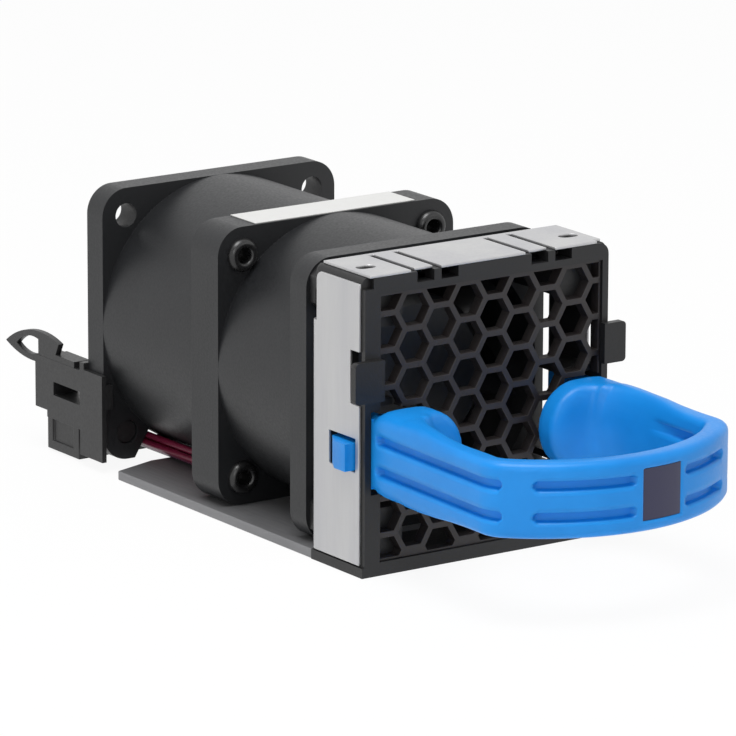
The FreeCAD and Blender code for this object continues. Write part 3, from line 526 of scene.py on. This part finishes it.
def round_wire():
    """A round wire along the given line."""
    tree, given, finish = new_tree("round_wire", {"Diameter": "Float"})
    radius = add_node(tree, "ShaderNodeMath", {0: given["Diameter"], 1: 0.5}, operation="MULTIPLY")
    skin = add_node(tree, "GeometryNodeCurvePrimitiveCircle", {"Resolution": 16, "Radius": radius.outputs[0]})
    swept = add_node(tree, "GeometryNodeCurveToMesh", {"Curve": given["Geometry"],
                                                       "Profile Curve": skin.outputs[0], "Fill Caps": True})
    finish(swept.outputs[0])
    return tree


CORNER_COPIES = corner_copies()
GRID_COPIES = grid_copies()
HONEYCOMB = honeycomb()
ROUND_WIRE = round_wire()


# Camera at the photograph's angle: where it looks from, how it leans, and how far its middle is moved aside

AZIMUTH = math.radians(-34.614)
ELEVATION = math.radians(14.16)
ROLL = math.radians(0.198)
DISTANCE = 872.99 * MM
AIM = Vector((0, 25, 20)) * MM
SHIFT_X = 2.114 * MM
SHIFT_Y = -1.302 * MM
FOCAL_PIXELS = 6253.6
PICTURE_PIXELS = 736
SENSOR_WIDTH = 36


def place_camera():
    """The camera, turned and moved by the values above."""
    back = Vector((math.sin(AZIMUTH) * math.cos(ELEVATION), -math.cos(AZIMUTH) * math.cos(ELEVATION),
                   math.sin(ELEVATION)))
    right = (-back).cross(Vector((0, 0, 1))).normalized()
    up = right.cross(-back)
    turned_right = right * math.cos(ROLL) + up * math.sin(ROLL)
    turned_up = up * math.cos(ROLL) - right * math.sin(ROLL)
    data = bpy.data.cameras.new("camera")
    data.sensor_width = SENSOR_WIDTH
    data.lens = FOCAL_PIXELS / PICTURE_PIXELS * SENSOR_WIDTH
    data.clip_start = 0.05
    data.clip_end = 20
    camera = new_object("camera", data)
    turn = Matrix((turned_right, turned_up, back)).transposed()
    camera.rotation_mode = "QUATERNION"
    camera.rotation_quaternion = turn.to_quaternion()
    camera.location = AIM + back * DISTANCE - turned_right * SHIFT_X - turned_up * SHIFT_Y
    bpy.context.scene.camera = camera


# Studio: pale floor, soft lamps, white surroundings

def seen_directly(tree):
    """1 for the rays that see a thing directly, in a mirror or through glass, and 0 for the rest."""
    path = add_node(tree, "ShaderNodeLightPath")
    glossy = add_node(tree, "ShaderNodeMath", {0: path.outputs["Is Camera Ray"],
                                               1: path.outputs["Is Glossy Ray"]}, operation="MAXIMUM")
    return add_node(tree, "ShaderNodeMath", {0: glossy.outputs[0], 1: path.outputs["Is Transmission Ray"]},
                    operation="MAXIMUM").outputs[0]


FLOOR_HALF = 1.6
FLOOR_GAP = 0.02 * MM
FLOOR_GLOW_SHARE = 0.92
WORLD_DIFFUSE = 0.34
LAMPS = {  # name: place and side in metres, power in watts
    "overhead": ((-0.2, -0.1, 0.85), 0.5, 6.0),
    "front_right": ((0.5, -0.75, 0.35), 0.5, 0.35),
    "front_left": ((-0.6, -0.65, 0.35), 0.4, 1.0),
    "low_left": ((-0.8, 0.3, 0.05), 0.3, 0.5),
}


def studio_floor():
    """A pale paper floor that reads as white where it is seen directly and keeps the object's shadow."""
    mesh = bpy.data.meshes.new("floor")
    corners = [(-FLOOR_HALF, -FLOOR_HALF), (FLOOR_HALF, -FLOOR_HALF), (FLOOR_HALF, FLOOR_HALF),
               (-FLOOR_HALF, FLOOR_HALF)]
    mesh.from_pydata([(x, y, cad_low.z - FLOOR_GAP) for x, y in corners], [], [(0, 1, 2, 3)])
    floor = new_object("floor", mesh)
    material, tree, shader = new_finish("floor_paper", "f8f8f8", Roughness=0.9, Specular_IOR_Level=0.1)
    glow = add_node(tree, "ShaderNodeEmission", {"Strength": 1.0})
    share = add_node(tree, "ShaderNodeMath", {0: seen_directly(tree), 1: FLOOR_GLOW_SHARE},
                     operation="MULTIPLY")
    mixed = add_node(tree, "ShaderNodeMixShader", {0: share.outputs[0], 1: shader.outputs[0],
                                                   2: glow.outputs[0]})
    tree.links.new(mixed.outputs[0], tree.nodes["Material Output"].inputs["Surface"])
    mesh.materials.append(material)


def studio_world():
    """White surroundings, dimmer as a light on the object than where they are seen directly."""
    world = bpy.data.worlds.new("studio")
    world.use_nodes = True
    tree = world.node_tree
    level = add_node(tree, "ShaderNodeMapRange", {"Value": seen_directly(tree), "To Min": WORLD_DIFFUSE,
                                                  "To Max": 1.0})
    background = tree.nodes["Background"]
    background.inputs["Color"].default_value = linear("ffffff")
    tree.links.new(level.outputs["Result"], background.inputs["Strength"])
    bpy.context.scene.world = world


def soft_lamp(name, place, size, power):
    """A square soft lamp that points at the module."""
    data = bpy.data.lights.new(name, "AREA")
    data.shape = "SQUARE"
    data.size = size
    data.energy = power
    lamp = new_object(name, data)
    lamp.location = place
    lamp.rotation_mode = "QUATERNION"
    lamp.rotation_quaternion = (AIM - Vector(place)).to_track_quat("-Z", "Y")


def light_studio():
    """The lamps, the surroundings and the floor, shown with plain colours."""
    for name, (place, size, power) in LAMPS.items():
        soft_lamp(name, place, size, power)
    studio_world()
    studio_floor()
    bpy.context.scene.view_settings.view_transform = "Standard"


place_camera()
light_studio()


# Handle: one moulding swept along its plan curve, with grooves, finger pads and latch teeth

bow_low, bow_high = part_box("handle_bow")
BAND_HIGH = bow_high.z
BAND_LOW = bow_low.z
BAND_MID = (BAND_LOW + BAND_HIGH) / 2
BAND_HALF = (BAND_HIGH - BAND_LOW) / 2
BAND_THICK = 3.4 * MM
BAND_END = 0.6 * MM
REACH = -bow_low.y
FRONT_RADIUS = 26.0 * MM
CORNER_RADIUS = 5.2 * MM
ROOT_HALF = 19.2 * MM
FLARE = 0.8 * MM
EDGE_ROUND = 1.1 * MM

# two grooves along the band: their place, their section and the plain stretches between them
GROOVE_OFFSET = 2.15 * MM
GROOVE_HALF = 0.72 * MM
GROOVE_DEPTH = 1.15 * MM
GROOVE_LIP = 0.14 * MM
GROOVE_SIDE = 0.05 * MM
GROOVE_BACK = 1.0 * MM
INNER_GROOVE_START = 12.0 * MM
HINGE_ANGLE = math.radians(48.5)
PLAIN_CORNER = 4.2 * MM

# finger pads: their back end and size, and how they run out into the band, as distances from their flat top
PAD_BACK = -0.8 * MM
PAD_REACH = 12.0 * MM
PAD_HALF = 6.2 * MM
PAD_SHOULDER = 3.4 * MM
PAD_BACK_ROUND = 1.1 * MM
PAD_FLAT = 3.6 * MM
PAD_FALL = 3.4 * MM
PAD_LOWERING = (2.5 * MM, 19 * MM)
PAD_FADE = (10 * MM, 20 * MM)

# the badge's recess and the plain margin beside it
BADGE_X = 1.9 * MM
BADGE_WIDE = 6.6 * MM
BADGE_TALL = 7.2 * MM
BADGE_DEPTH = 0.6 * MM
BADGE_MARGIN = 1.0 * MM

ARC_Y = FRONT_RADIUS - REACH
CORNER_X = ROOT_HALF + FLARE - CORNER_RADIUS
CORNER_Y = ARC_Y - math.sqrt((FRONT_RADIUS - CORNER_RADIUS) ** 2 - CORNER_X ** 2)


def ease(value, low, high):
    """0 below low, 1 above high, and a smooth rise between them."""
    t = min(1.0, max(0.0, (value - low) / (high - low)))
    return t * t * (3 - 2 * t)


def side_normal():
    """The outward direction of the straight side, which is tangent to the corner and ends at the root."""
    to_root = Vector((ROOT_HALF - CORNER_X, -CORNER_Y))
    spread = math.acos(CORNER_RADIUS / to_root.length)
    angle = math.atan2(to_root.y, to_root.x) - spread
    return Vector((math.cos(angle), math.sin(angle)))


def half_path(stop_x):
    """Stations on the outer face, right root to stop_x on the front arc: place and outward normal."""
    normal = side_normal()
    corner = Vector((CORNER_X, CORNER_Y))
    touch = corner + normal * CORNER_RADIUS
    along = Vector((-normal.y, normal.x))
    start = touch + along * ((BAND_END - touch.y) / along.y)
    straight = (start - touch).length
    # stations lie closer together where the grooves have their rounded ends
    steps = [0.0, 0.3, 0.6, 0.8, 1.0, 1.2, 1.38, 1.42, 1.52, 1.7, 2.0, 2.4, 2.9, 3.4, 4.0, 4.6]
    steps += [5.2 + 0.35 * k for k in range(int((straight / MM - 5.2) / 0.35))]
    stations = [(start - along * (step * MM), normal) for step in steps]
    angle = math.atan2(normal.y, normal.x)
    toward = math.atan2(CORNER_Y - ARC_Y, CORNER_X)
    turn_count = 26
    for i in range(1, turn_count + 1):
        a = angle + (toward - angle) * i / turn_count
        n = Vector((math.cos(a), math.sin(a)))
        stations.append((corner + n * CORNER_RADIUS, n))
    stop = -math.acos(stop_x / FRONT_RADIUS)
    front_count = int(FRONT_RADIUS * (toward - stop) / (0.3 * MM))
    for i in range(1, front_count + 1):
        a = toward + (stop - toward) * i / front_count
        n = Vector((math.cos(a), math.sin(a)))
        stations.append((Vector((0, ARC_Y)) + n * FRONT_RADIUS, n))
    return stations


def groove_cut(distance_along, z):
    """Depth of the two grooves at a height, as far inside the grooves' end as distance_along says."""
    across = abs(abs(z) - GROOVE_OFFSET)
    beyond = max(0.0, GROOVE_HALF - distance_along)
    reach = math.hypot(across, beyond) if beyond > 0 else across
    return GROOVE_DEPTH * (1 - ease(reach, GROOVE_HALF - GROOVE_LIP, GROOVE_HALF + GROOVE_SIDE))


def outer_cut(place, z, side):
    """Depth of the outer face below its plain surface."""
    to_corner = (-math.atan2(place.y - ARC_Y, place.x) - HINGE_ANGLE) * FRONT_RADIUS
    if place.y > -GROOVE_BACK - GROOVE_HALF:
        inside = -place.y - GROOVE_BACK
    elif to_corner < 0:
        inside = -to_corner - PLAIN_CORNER / 2
    else:
        badge_edge = BADGE_X * side + BADGE_WIDE / 2 + BADGE_MARGIN
        inside = min(to_corner - PLAIN_CORNER / 2, place.x - badge_edge)
    cut = groove_cut(inside, z) if inside > -1 * MM else 0.0
    near = min(BADGE_WIDE / 2 - abs(place.x - BADGE_X * side), BADGE_TALL / 2 - abs(z))
    if place.y < CORNER_Y:
        cut = max(cut, BADGE_DEPTH * ease(near, -0.05 * MM, 0.15 * MM))
    return cut


def inner_cut(place, z):
    """Depth of the two grooves on an arm's inner face."""
    inside = min(-place.y - INNER_GROOVE_START, place.y - CORNER_Y - 1.0 * MM)
    return groove_cut(inside, z) if inside > -1 * MM and place.x > 0 else 0.0


def pad_depth(y):
    """How far the finger pad reaches inwards, how tall it is and how much it replaces the plain band."""
    back = PAD_BACK - y
    if back < 0:
        return BAND_THICK, BAND_HALF, 0.0
    into_round = max(0.0, 1 - back / PAD_BACK_ROUND)
    edge = PAD_BACK_ROUND * (1 - math.sqrt(max(0.0, 1 - into_round ** 2)))
    front = back - PAD_FLAT
    depth = PAD_REACH
    height = PAD_HALF
    if front > 0:
        fall = 0.4 * ease(front, 0, 1.6 * MM) + 0.6 * (1 - math.exp(-front / PAD_FALL))
        depth = PAD_REACH - (PAD_REACH - BAND_THICK) * fall
        height = PAD_HALF - (PAD_HALF - BAND_HALF) * ease(front, *PAD_LOWERING)
    return depth - edge, height - edge, 1 - ease(front, *PAD_FADE)


def band_profile():
    """Half section of the plain band behind its outer face: top corner, inner face, bottom corner."""
    points = []
    for i in range(1, 6):
        a = math.pi / 2 * i / 5
        points.append((EDGE_ROUND * (1 - math.cos(a)), BAND_HALF - EDGE_ROUND * (1 - math.sin(a))))
    points.append((BAND_THICK / 2, BAND_HALF))
    for i in range(6):
        a = math.pi / 2 * i / 5
        points.append((BAND_THICK - EDGE_ROUND * (1 - math.sin(a)),
                       BAND_HALF - EDGE_ROUND * (1 - math.cos(a))))
    inner = [(BAND_THICK, z) for z in face_heights()[::-1]]
    lower = [(a, -z) for a, z in points[::-1]]
    return points + inner[1:-1] + lower


def face_heights():
    """Heights at which a grooved face has points, from low to high."""
    top = BAND_HALF - EDGE_ROUND
    marks = {0.0, top, 0.7 * MM}
    marks |= {BADGE_TALL / 2 + step * MM for step in (-0.15, -0.05, 0.05)}
    marks |= {GROOVE_OFFSET + k / 6 * (GROOVE_HALF + 0.06 * MM) for k in range(-6, 7)}
    both = sorted(marks | {-m for m in marks})
    return [z for z in both if abs(z) <= top + 1e-9]


def run_lengths(line):
    """How far along a line of points each point lies."""
    return np.concatenate([[0], np.cumsum(np.linalg.norm(np.diff(line, axis=0), axis=1))])


def pad_profile(depth, height, shares):
    """Half section of the finger pad at the same shares of its length as the plain band's points."""
    rise = height - BAND_HALF
    start = [(0.0, BAND_HALF - EDGE_ROUND), (0.12 * MM, BAND_HALF - 0.5 * MM),
             (0.4 * MM, BAND_HALF + rise * 0.15), (0.9 * MM, BAND_HALF + rise * 0.55),
             (1.7 * MM, BAND_HALF + rise * 0.86), (PAD_SHOULDER, height)]
    bend = max(depth - height, 4.6 * MM if depth > 6 * MM else depth * 0.5)
    if bend > PAD_SHOULDER:
        line = start + [(bend, height)]
    else:
        line = [(a * bend / PAD_SHOULDER, z) for a, z in start]
    for i in range(1, 13):
        angle = math.pi / 2 * i / 12
        line.append((bend + (depth - bend) * math.sin(angle), height * math.cos(angle)))
    line += [(a, -z) for a, z in line[-2::-1]]
    line = np.array(line)
    length = run_lengths(line)
    at = shares * length[-1]
    return np.stack([np.interp(at, length, line[:, 0]), np.interp(at, length, line[:, 1])], axis=1)


def handle_half(side):
    """Mesh of the handle from a root to the badge's middle; side is 1 for the right, -1 for the left."""
    heights = face_heights()
    band = np.array(band_profile())
    length = run_lengths(band)
    shares = length / length[-1]
    rings = []
    for place, normal in half_path(BADGE_X * side):
        outer = [(outer_cut(place, z, side), z) for z in heights]
        depth, height, weight = pad_depth(place.y)
        inner = band.copy()
        for k, (a, z) in enumerate(inner):
            if a > BAND_THICK - 1e-9:
                inner[k, 0] -= inner_cut(place, z)
        if weight > 0:
            inner = inner * (1 - weight) + pad_profile(depth, height, shares) * weight
        ring = []
        for a, z in outer + [tuple(p) for p in inner]:
            spot = place - normal * a
            ring.append((spot.x * side, spot.y, BAND_MID + z))
        rings.append(ring)
    count = len(rings[0])
    points = [p for ring in rings for p in ring]
    faces = []
    for i in range(len(rings) - 1):
        for k in range(count):
            a, b = i * count + k, i * count + (k + 1) % count
            faces.append((a, b, b + count, a + count))
    faces.append(tuple(range(count))[::-1])
    last = (len(rings) - 1) * count
    faces.append(tuple(range(last, last + count)))
    return mesh_of("handle", points, faces)


def build_handle():
    """Both halves of the handle, each with its latch tooth."""
    for side, name in ((1, "right"), (-1, "left")):
        latch = bevelled(merged_copy("arm_" + name, keep=[((0, -0.1 * MM, 0), (0, 1, 0))]), 0.2 * MM)
        mesh = smooth_with_edges(joined("handle_" + name, [handle_half(side), latch]), 40)
        piece = finished_piece("handle_" + name, mesh, "handle", "blue_plastic", "arm_" + name, "handle_bow")
        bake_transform(piece)


# Honeycomb guard

ARM_SLOT_REACH = 5.952 * MM
ARM_SLOT_MARGIN = 0.6 * MM
GUARD_BORDER = 0.35 * MM
CELL_FLATS = 4.3 * MM
CELL_PITCH = 5.14 * MM
CELL_MIDDLE_X = -0.82 * MM
CELL_MIDDLE_Z = 23.5 * MM
CELL_COLUMNS = 12
CELL_ROWS = 11
CELL_OVERLAP = 1.66 * MM


def guard_plate():
    """The guard's plain plate, with the notch at each side that an arm of the handle passes through."""
    low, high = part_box("honeycomb_grille")
    notch = high.x - ARM_SLOT_REACH
    below = BAND_LOW - ARM_SLOT_MARGIN
    above = BAND_HIGH + ARM_SLOT_MARGIN
    border = [(low.x, low.z), (high.x, low.z), (high.x, below), (notch, below), (notch, above),
              (high.x, above), (high.x, high.z), (low.x, high.z), (low.x, above), (-notch, above),
              (-notch, below), (low.x, below)]
    count = len(border)
    points = [(x, low.y, z) for x, z in border] + [(x, high.y, z) for x, z in border]
    faces = [tuple(range(count)), tuple(range(2 * count - 1, count - 1, -1))]
    faces += [(k, (k + 1) % count, count + (k + 1) % count, count + k) for k in range(count)]
    return mesh_of("guard_plate", points, faces)


def build_guard():
    """The plate with its cells cut inside a plain border."""
    low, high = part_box("honeycomb_grille")
    inside = Vector((high.x - low.x - 2 * GUARD_BORDER, 0.01, high.z - low.z - 2 * GUARD_BORDER))
    mesh = grown("guard", guard_plate(), HONEYCOMB, "guard", Columns=CELL_COLUMNS, Rows=CELL_ROWS,
                 Column_Step=CELL_PITCH * math.sqrt(3) / 2, Row_Step=CELL_PITCH,
                 Cell_Radius=CELL_FLATS / math.sqrt(3),
                 Cell_Middle=(CELL_MIDDLE_X, (low.y + high.y) / 2, CELL_MIDDLE_Z), Window=inside,
                 Window_Middle=(low + high) / 2, Overlap=CELL_OVERLAP)
    chassis_piece("guard", bevelled(mesh, 0.1 * MM), "guard", "black_plastic", "honeycomb_grille")


# Rivets, screws, contacts and wires

CORNER_SPACING = 32.0 * MM
FAN_AXIS_Z = 21.4 * MM

# turned outlines in millimetres, each a radius and a place along the fans
RIVET = [(0, 44.2), (1.25, 44.2), (1.45, 44.0), (1.45, 36.5), (2.4, 36.5), (2.38, 36.2), (2.25, 35.9),
         (2.05, 35.66), (1.8, 35.53), (1.55, 35.5), (1.32, 35.56), (1.15, 35.72), (1.08, 35.95), (1.05, 38.0),
         (0, 38.0)]
SCREW = [(0, 8.6), (0.75, 8.6), (1.1, 9.1), (1.1, 18.5), (2.4, 18.5), (2.4, 19.45), (2.32, 19.68),
         (2.1, 19.8), (1.3, 19.8)]
SCREW_SOCKET = [(1.15, 19.7), (1.15, 18.9), (0, 18.9)]

PIN_HALF = 0.32 * MM
PIN_TAPER = 0.3 * MM
PIN_COLUMNS = 4
PIN_ROWS = 2
PIN_PITCH = 2.2 * MM
PIN_ROW_PITCH = 2.4 * MM
WIRE_DIAMETER = 1.0 * MM
# mauve is a painted highlight colour, the sheen of a red wire, not a wire's own colour
WIRE_COLOURS = ("maroon", "mauve", "black", "red")


def turned_corner_set(name, profile, finish, slot, socket=()):
    """Four equal turned fasteners, one at each corner of the fans; a socket's rings are six-sided."""
    rings = [(radius * MM, y * MM, False) for radius, y in profile]
    rings += [(radius * MM, y * MM, True) for radius, y in socket]
    mesh = grown(name, lathed(name, rings), CORNER_COPIES, finish, Spacing=CORNER_SPACING,
                 Middle_Height=FAN_AXIS_Z)
    chassis_piece(name + "_set", smooth_with_edges(mesh), finish, slot, name)


def build_contacts():
    """Eight square pins with tapered tips, in two rows."""
    low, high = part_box("contacts")
    rings = [(low.y, PIN_HALF), (high.y - PIN_TAPER, PIN_HALF), (high.y, PIN_HALF * 0.5)]
    points = [(x * h, y, z * h) for y, h in rings for x, z in ((-1, -1), (1, -1), (1, 1), (-1, 1))]
    faces = [(0, 1, 2, 3), (8, 9, 10, 11)]
    faces += [(4 * r + k, 4 * r + (k + 1) % 4, 4 * r + 4 + (k + 1) % 4, 4 * r + 4 + k)
              for r in range(2) for k in range(4)]
    middle = (low + high) / 2
    mesh = grown("contacts", mesh_of("pin", points, faces), GRID_COPIES, "contact",
                 Columns=PIN_COLUMNS, Rows=PIN_ROWS, Width=(PIN_COLUMNS - 1) * PIN_PITCH,
                 Height=(PIN_ROWS - 1) * PIN_ROW_PITCH, Middle_X=middle.x, Middle_Z=middle.z)
    chassis_piece("contact_pins", bevelled(mesh, 0.05 * MM), "contact", "contact_metal", "contacts")


def wire_centres(node):
    """The middle line of each eight-sided wire in a CAD node, found ring by ring from one end."""
    shape = bmesh.new()
    shape.from_mesh(merged_copy(node))
    left = set(shape.verts)
    lines = []
    while left:
        ends = [face for face in shape.faces if len(face.verts) == 8 and face.verts[0] in left]
        ring = set(ends[0].verts)
        line = []
        while ring:
            line.append(sum((v.co for v in ring), Vector()) / len(ring))
            left -= ring
            ring = {e.other_vert(v) for v in ring for e in v.link_edges} & left
        lines.append(line)
    shape.free()
    return lines


def build_wires():
    """The four round wires of each fan, in their colours."""
    for fan in ("front", "rear"):
        lines = sorted(wire_centres(fan + "_leads"), key=lambda line: line[-1].x)
        for number, (line, colour) in enumerate(zip(lines, WIRE_COLOURS), start=1):
            name = fan + "_wire_" + str(number)
            route = bpy.data.curves.new(name, "CURVE")
            route.dimensions = "3D"
            spline = route.splines.new("POLY")
            spline.points.add(len(line) - 1)
            for point, place in zip(spline.points, line):
                point.co = (*place, 1)
            mesh = grown(name, route, ROUND_WIRE, colour + "_wire", Diameter=WIRE_DIAMETER)
            chassis_piece(name, smooth_with_edges(mesh), colour + "_wire", "wire_sleeve", fan + "_leads")


# Bezel and tray

BEZEL_BACK = 12.3 * MM
TRAY_TOP = 1.42 * MM


def build_bezel():
    """The black bezel with its posts, and the flat grey tray that runs back from it under the front fan."""
    behind = ((0, BEZEL_BACK, 0), (0, 1, 0))
    front = merged_copy("bezel", keep=[((0, BEZEL_BACK, 0), (0, -1, 0))])
    posts = merged_copy("bezel", keep=[behind, ((0, 0, TRAY_TOP), (0, 0, 1))])
    tray = merged_copy("bezel", keep=[behind, ((0, 0, TRAY_TOP), (0, 0, -1))])
    shell = joined("bezel_shell", [front, posts])
    shape = bmesh.new()
    shape.from_mesh(shell)
    seam = [face for face in shape.faces if face.calc_center_median().z > TRAY_TOP
            and all(abs(vert.co.y - BEZEL_BACK) < 0.001 * MM for vert in face.verts)]
    bmesh.ops.delete(shape, geom=seam, context="FACES_ONLY")
    bmesh.ops.dissolve_limit(shape, angle_limit=math.radians(1), verts=shape.verts, edges=shape.edges)
    bmesh.ops.recalc_face_normals(shape, faces=shape.faces)
    shape.to_mesh(shell)
    shape.free()
    chassis_piece("bezel_shell", bevelled(shell, 0.22 * MM), "abs", "black_plastic", "bezel")
    chassis_piece("tray", bevelled(tray, 0.2 * MM), "tray", "plated_steel", "bezel")


# Plates, frames, badge, label and plug keep their CAD shapes and get rounded edges

ROUNDED_NODES = (  # node, finish, width of its rounded edges in millimetres, slot
    ("side_plate_left", "plate", 0.1, "plated_steel"),
    ("side_plate_right", "plate", 0.1, "plated_steel"),
    ("top_plate", "plate", 0.1, "plated_steel"),
    ("front_frame", "pbt", 0.25, "black_plastic"),
    ("rear_frame", "pbt", 0.25, "black_plastic"),
    ("badge", "badge", 0.15, "dark_badge"),
    ("joint_label", "label", 0.03, "paper_label"),
    ("connector_housing", "connector", 0.15, "grey_housing"),
    ("connector_carrier", "connector", 0.2, "black_plastic"),
)
INNER_FINISHES = {
    "impeller": "rotor", "yoke": "yoke", "magnet": "magnet", "shaft": "shaft", "bearing_tube": "brass",
    "bearing_outer_rings": "bearing", "bearing_inner_rings": "bearing", "preload_washer": "spring",
    "retaining_clip": "spring", "stator_core": "stator", "windings": "copper", "circuit_board": "board",
}


def round_outer_nodes():
    """The outer CAD nodes redrawn with rounded edges."""
    for node, finish, width, slot in ROUNDED_NODES:
        chassis_piece(node + "_shell", bevelled(merged_copy(node), width * MM), finish, slot, node)


def dress_inner_nodes():
    """The finishes of the fans' inner CAD nodes, which keep their shapes."""
    for fan in ("front", "rear"):
        for part, finish in INNER_FINISHES.items():
            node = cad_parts[fan + "_" + part]
            node.data.materials.clear()
            node.data.materials.append(FINISHES[finish])


# The whole module

build_handle()
build_guard()
turned_corner_set("joint_rivets", RIVET, "rivet", "black_plastic")
turned_corner_set("front_screws", SCREW, "screw", "steel", SCREW_SOCKET)
build_contacts()
build_wires()
build_bezel()
round_outer_nodes()
dress_inner_nodes()
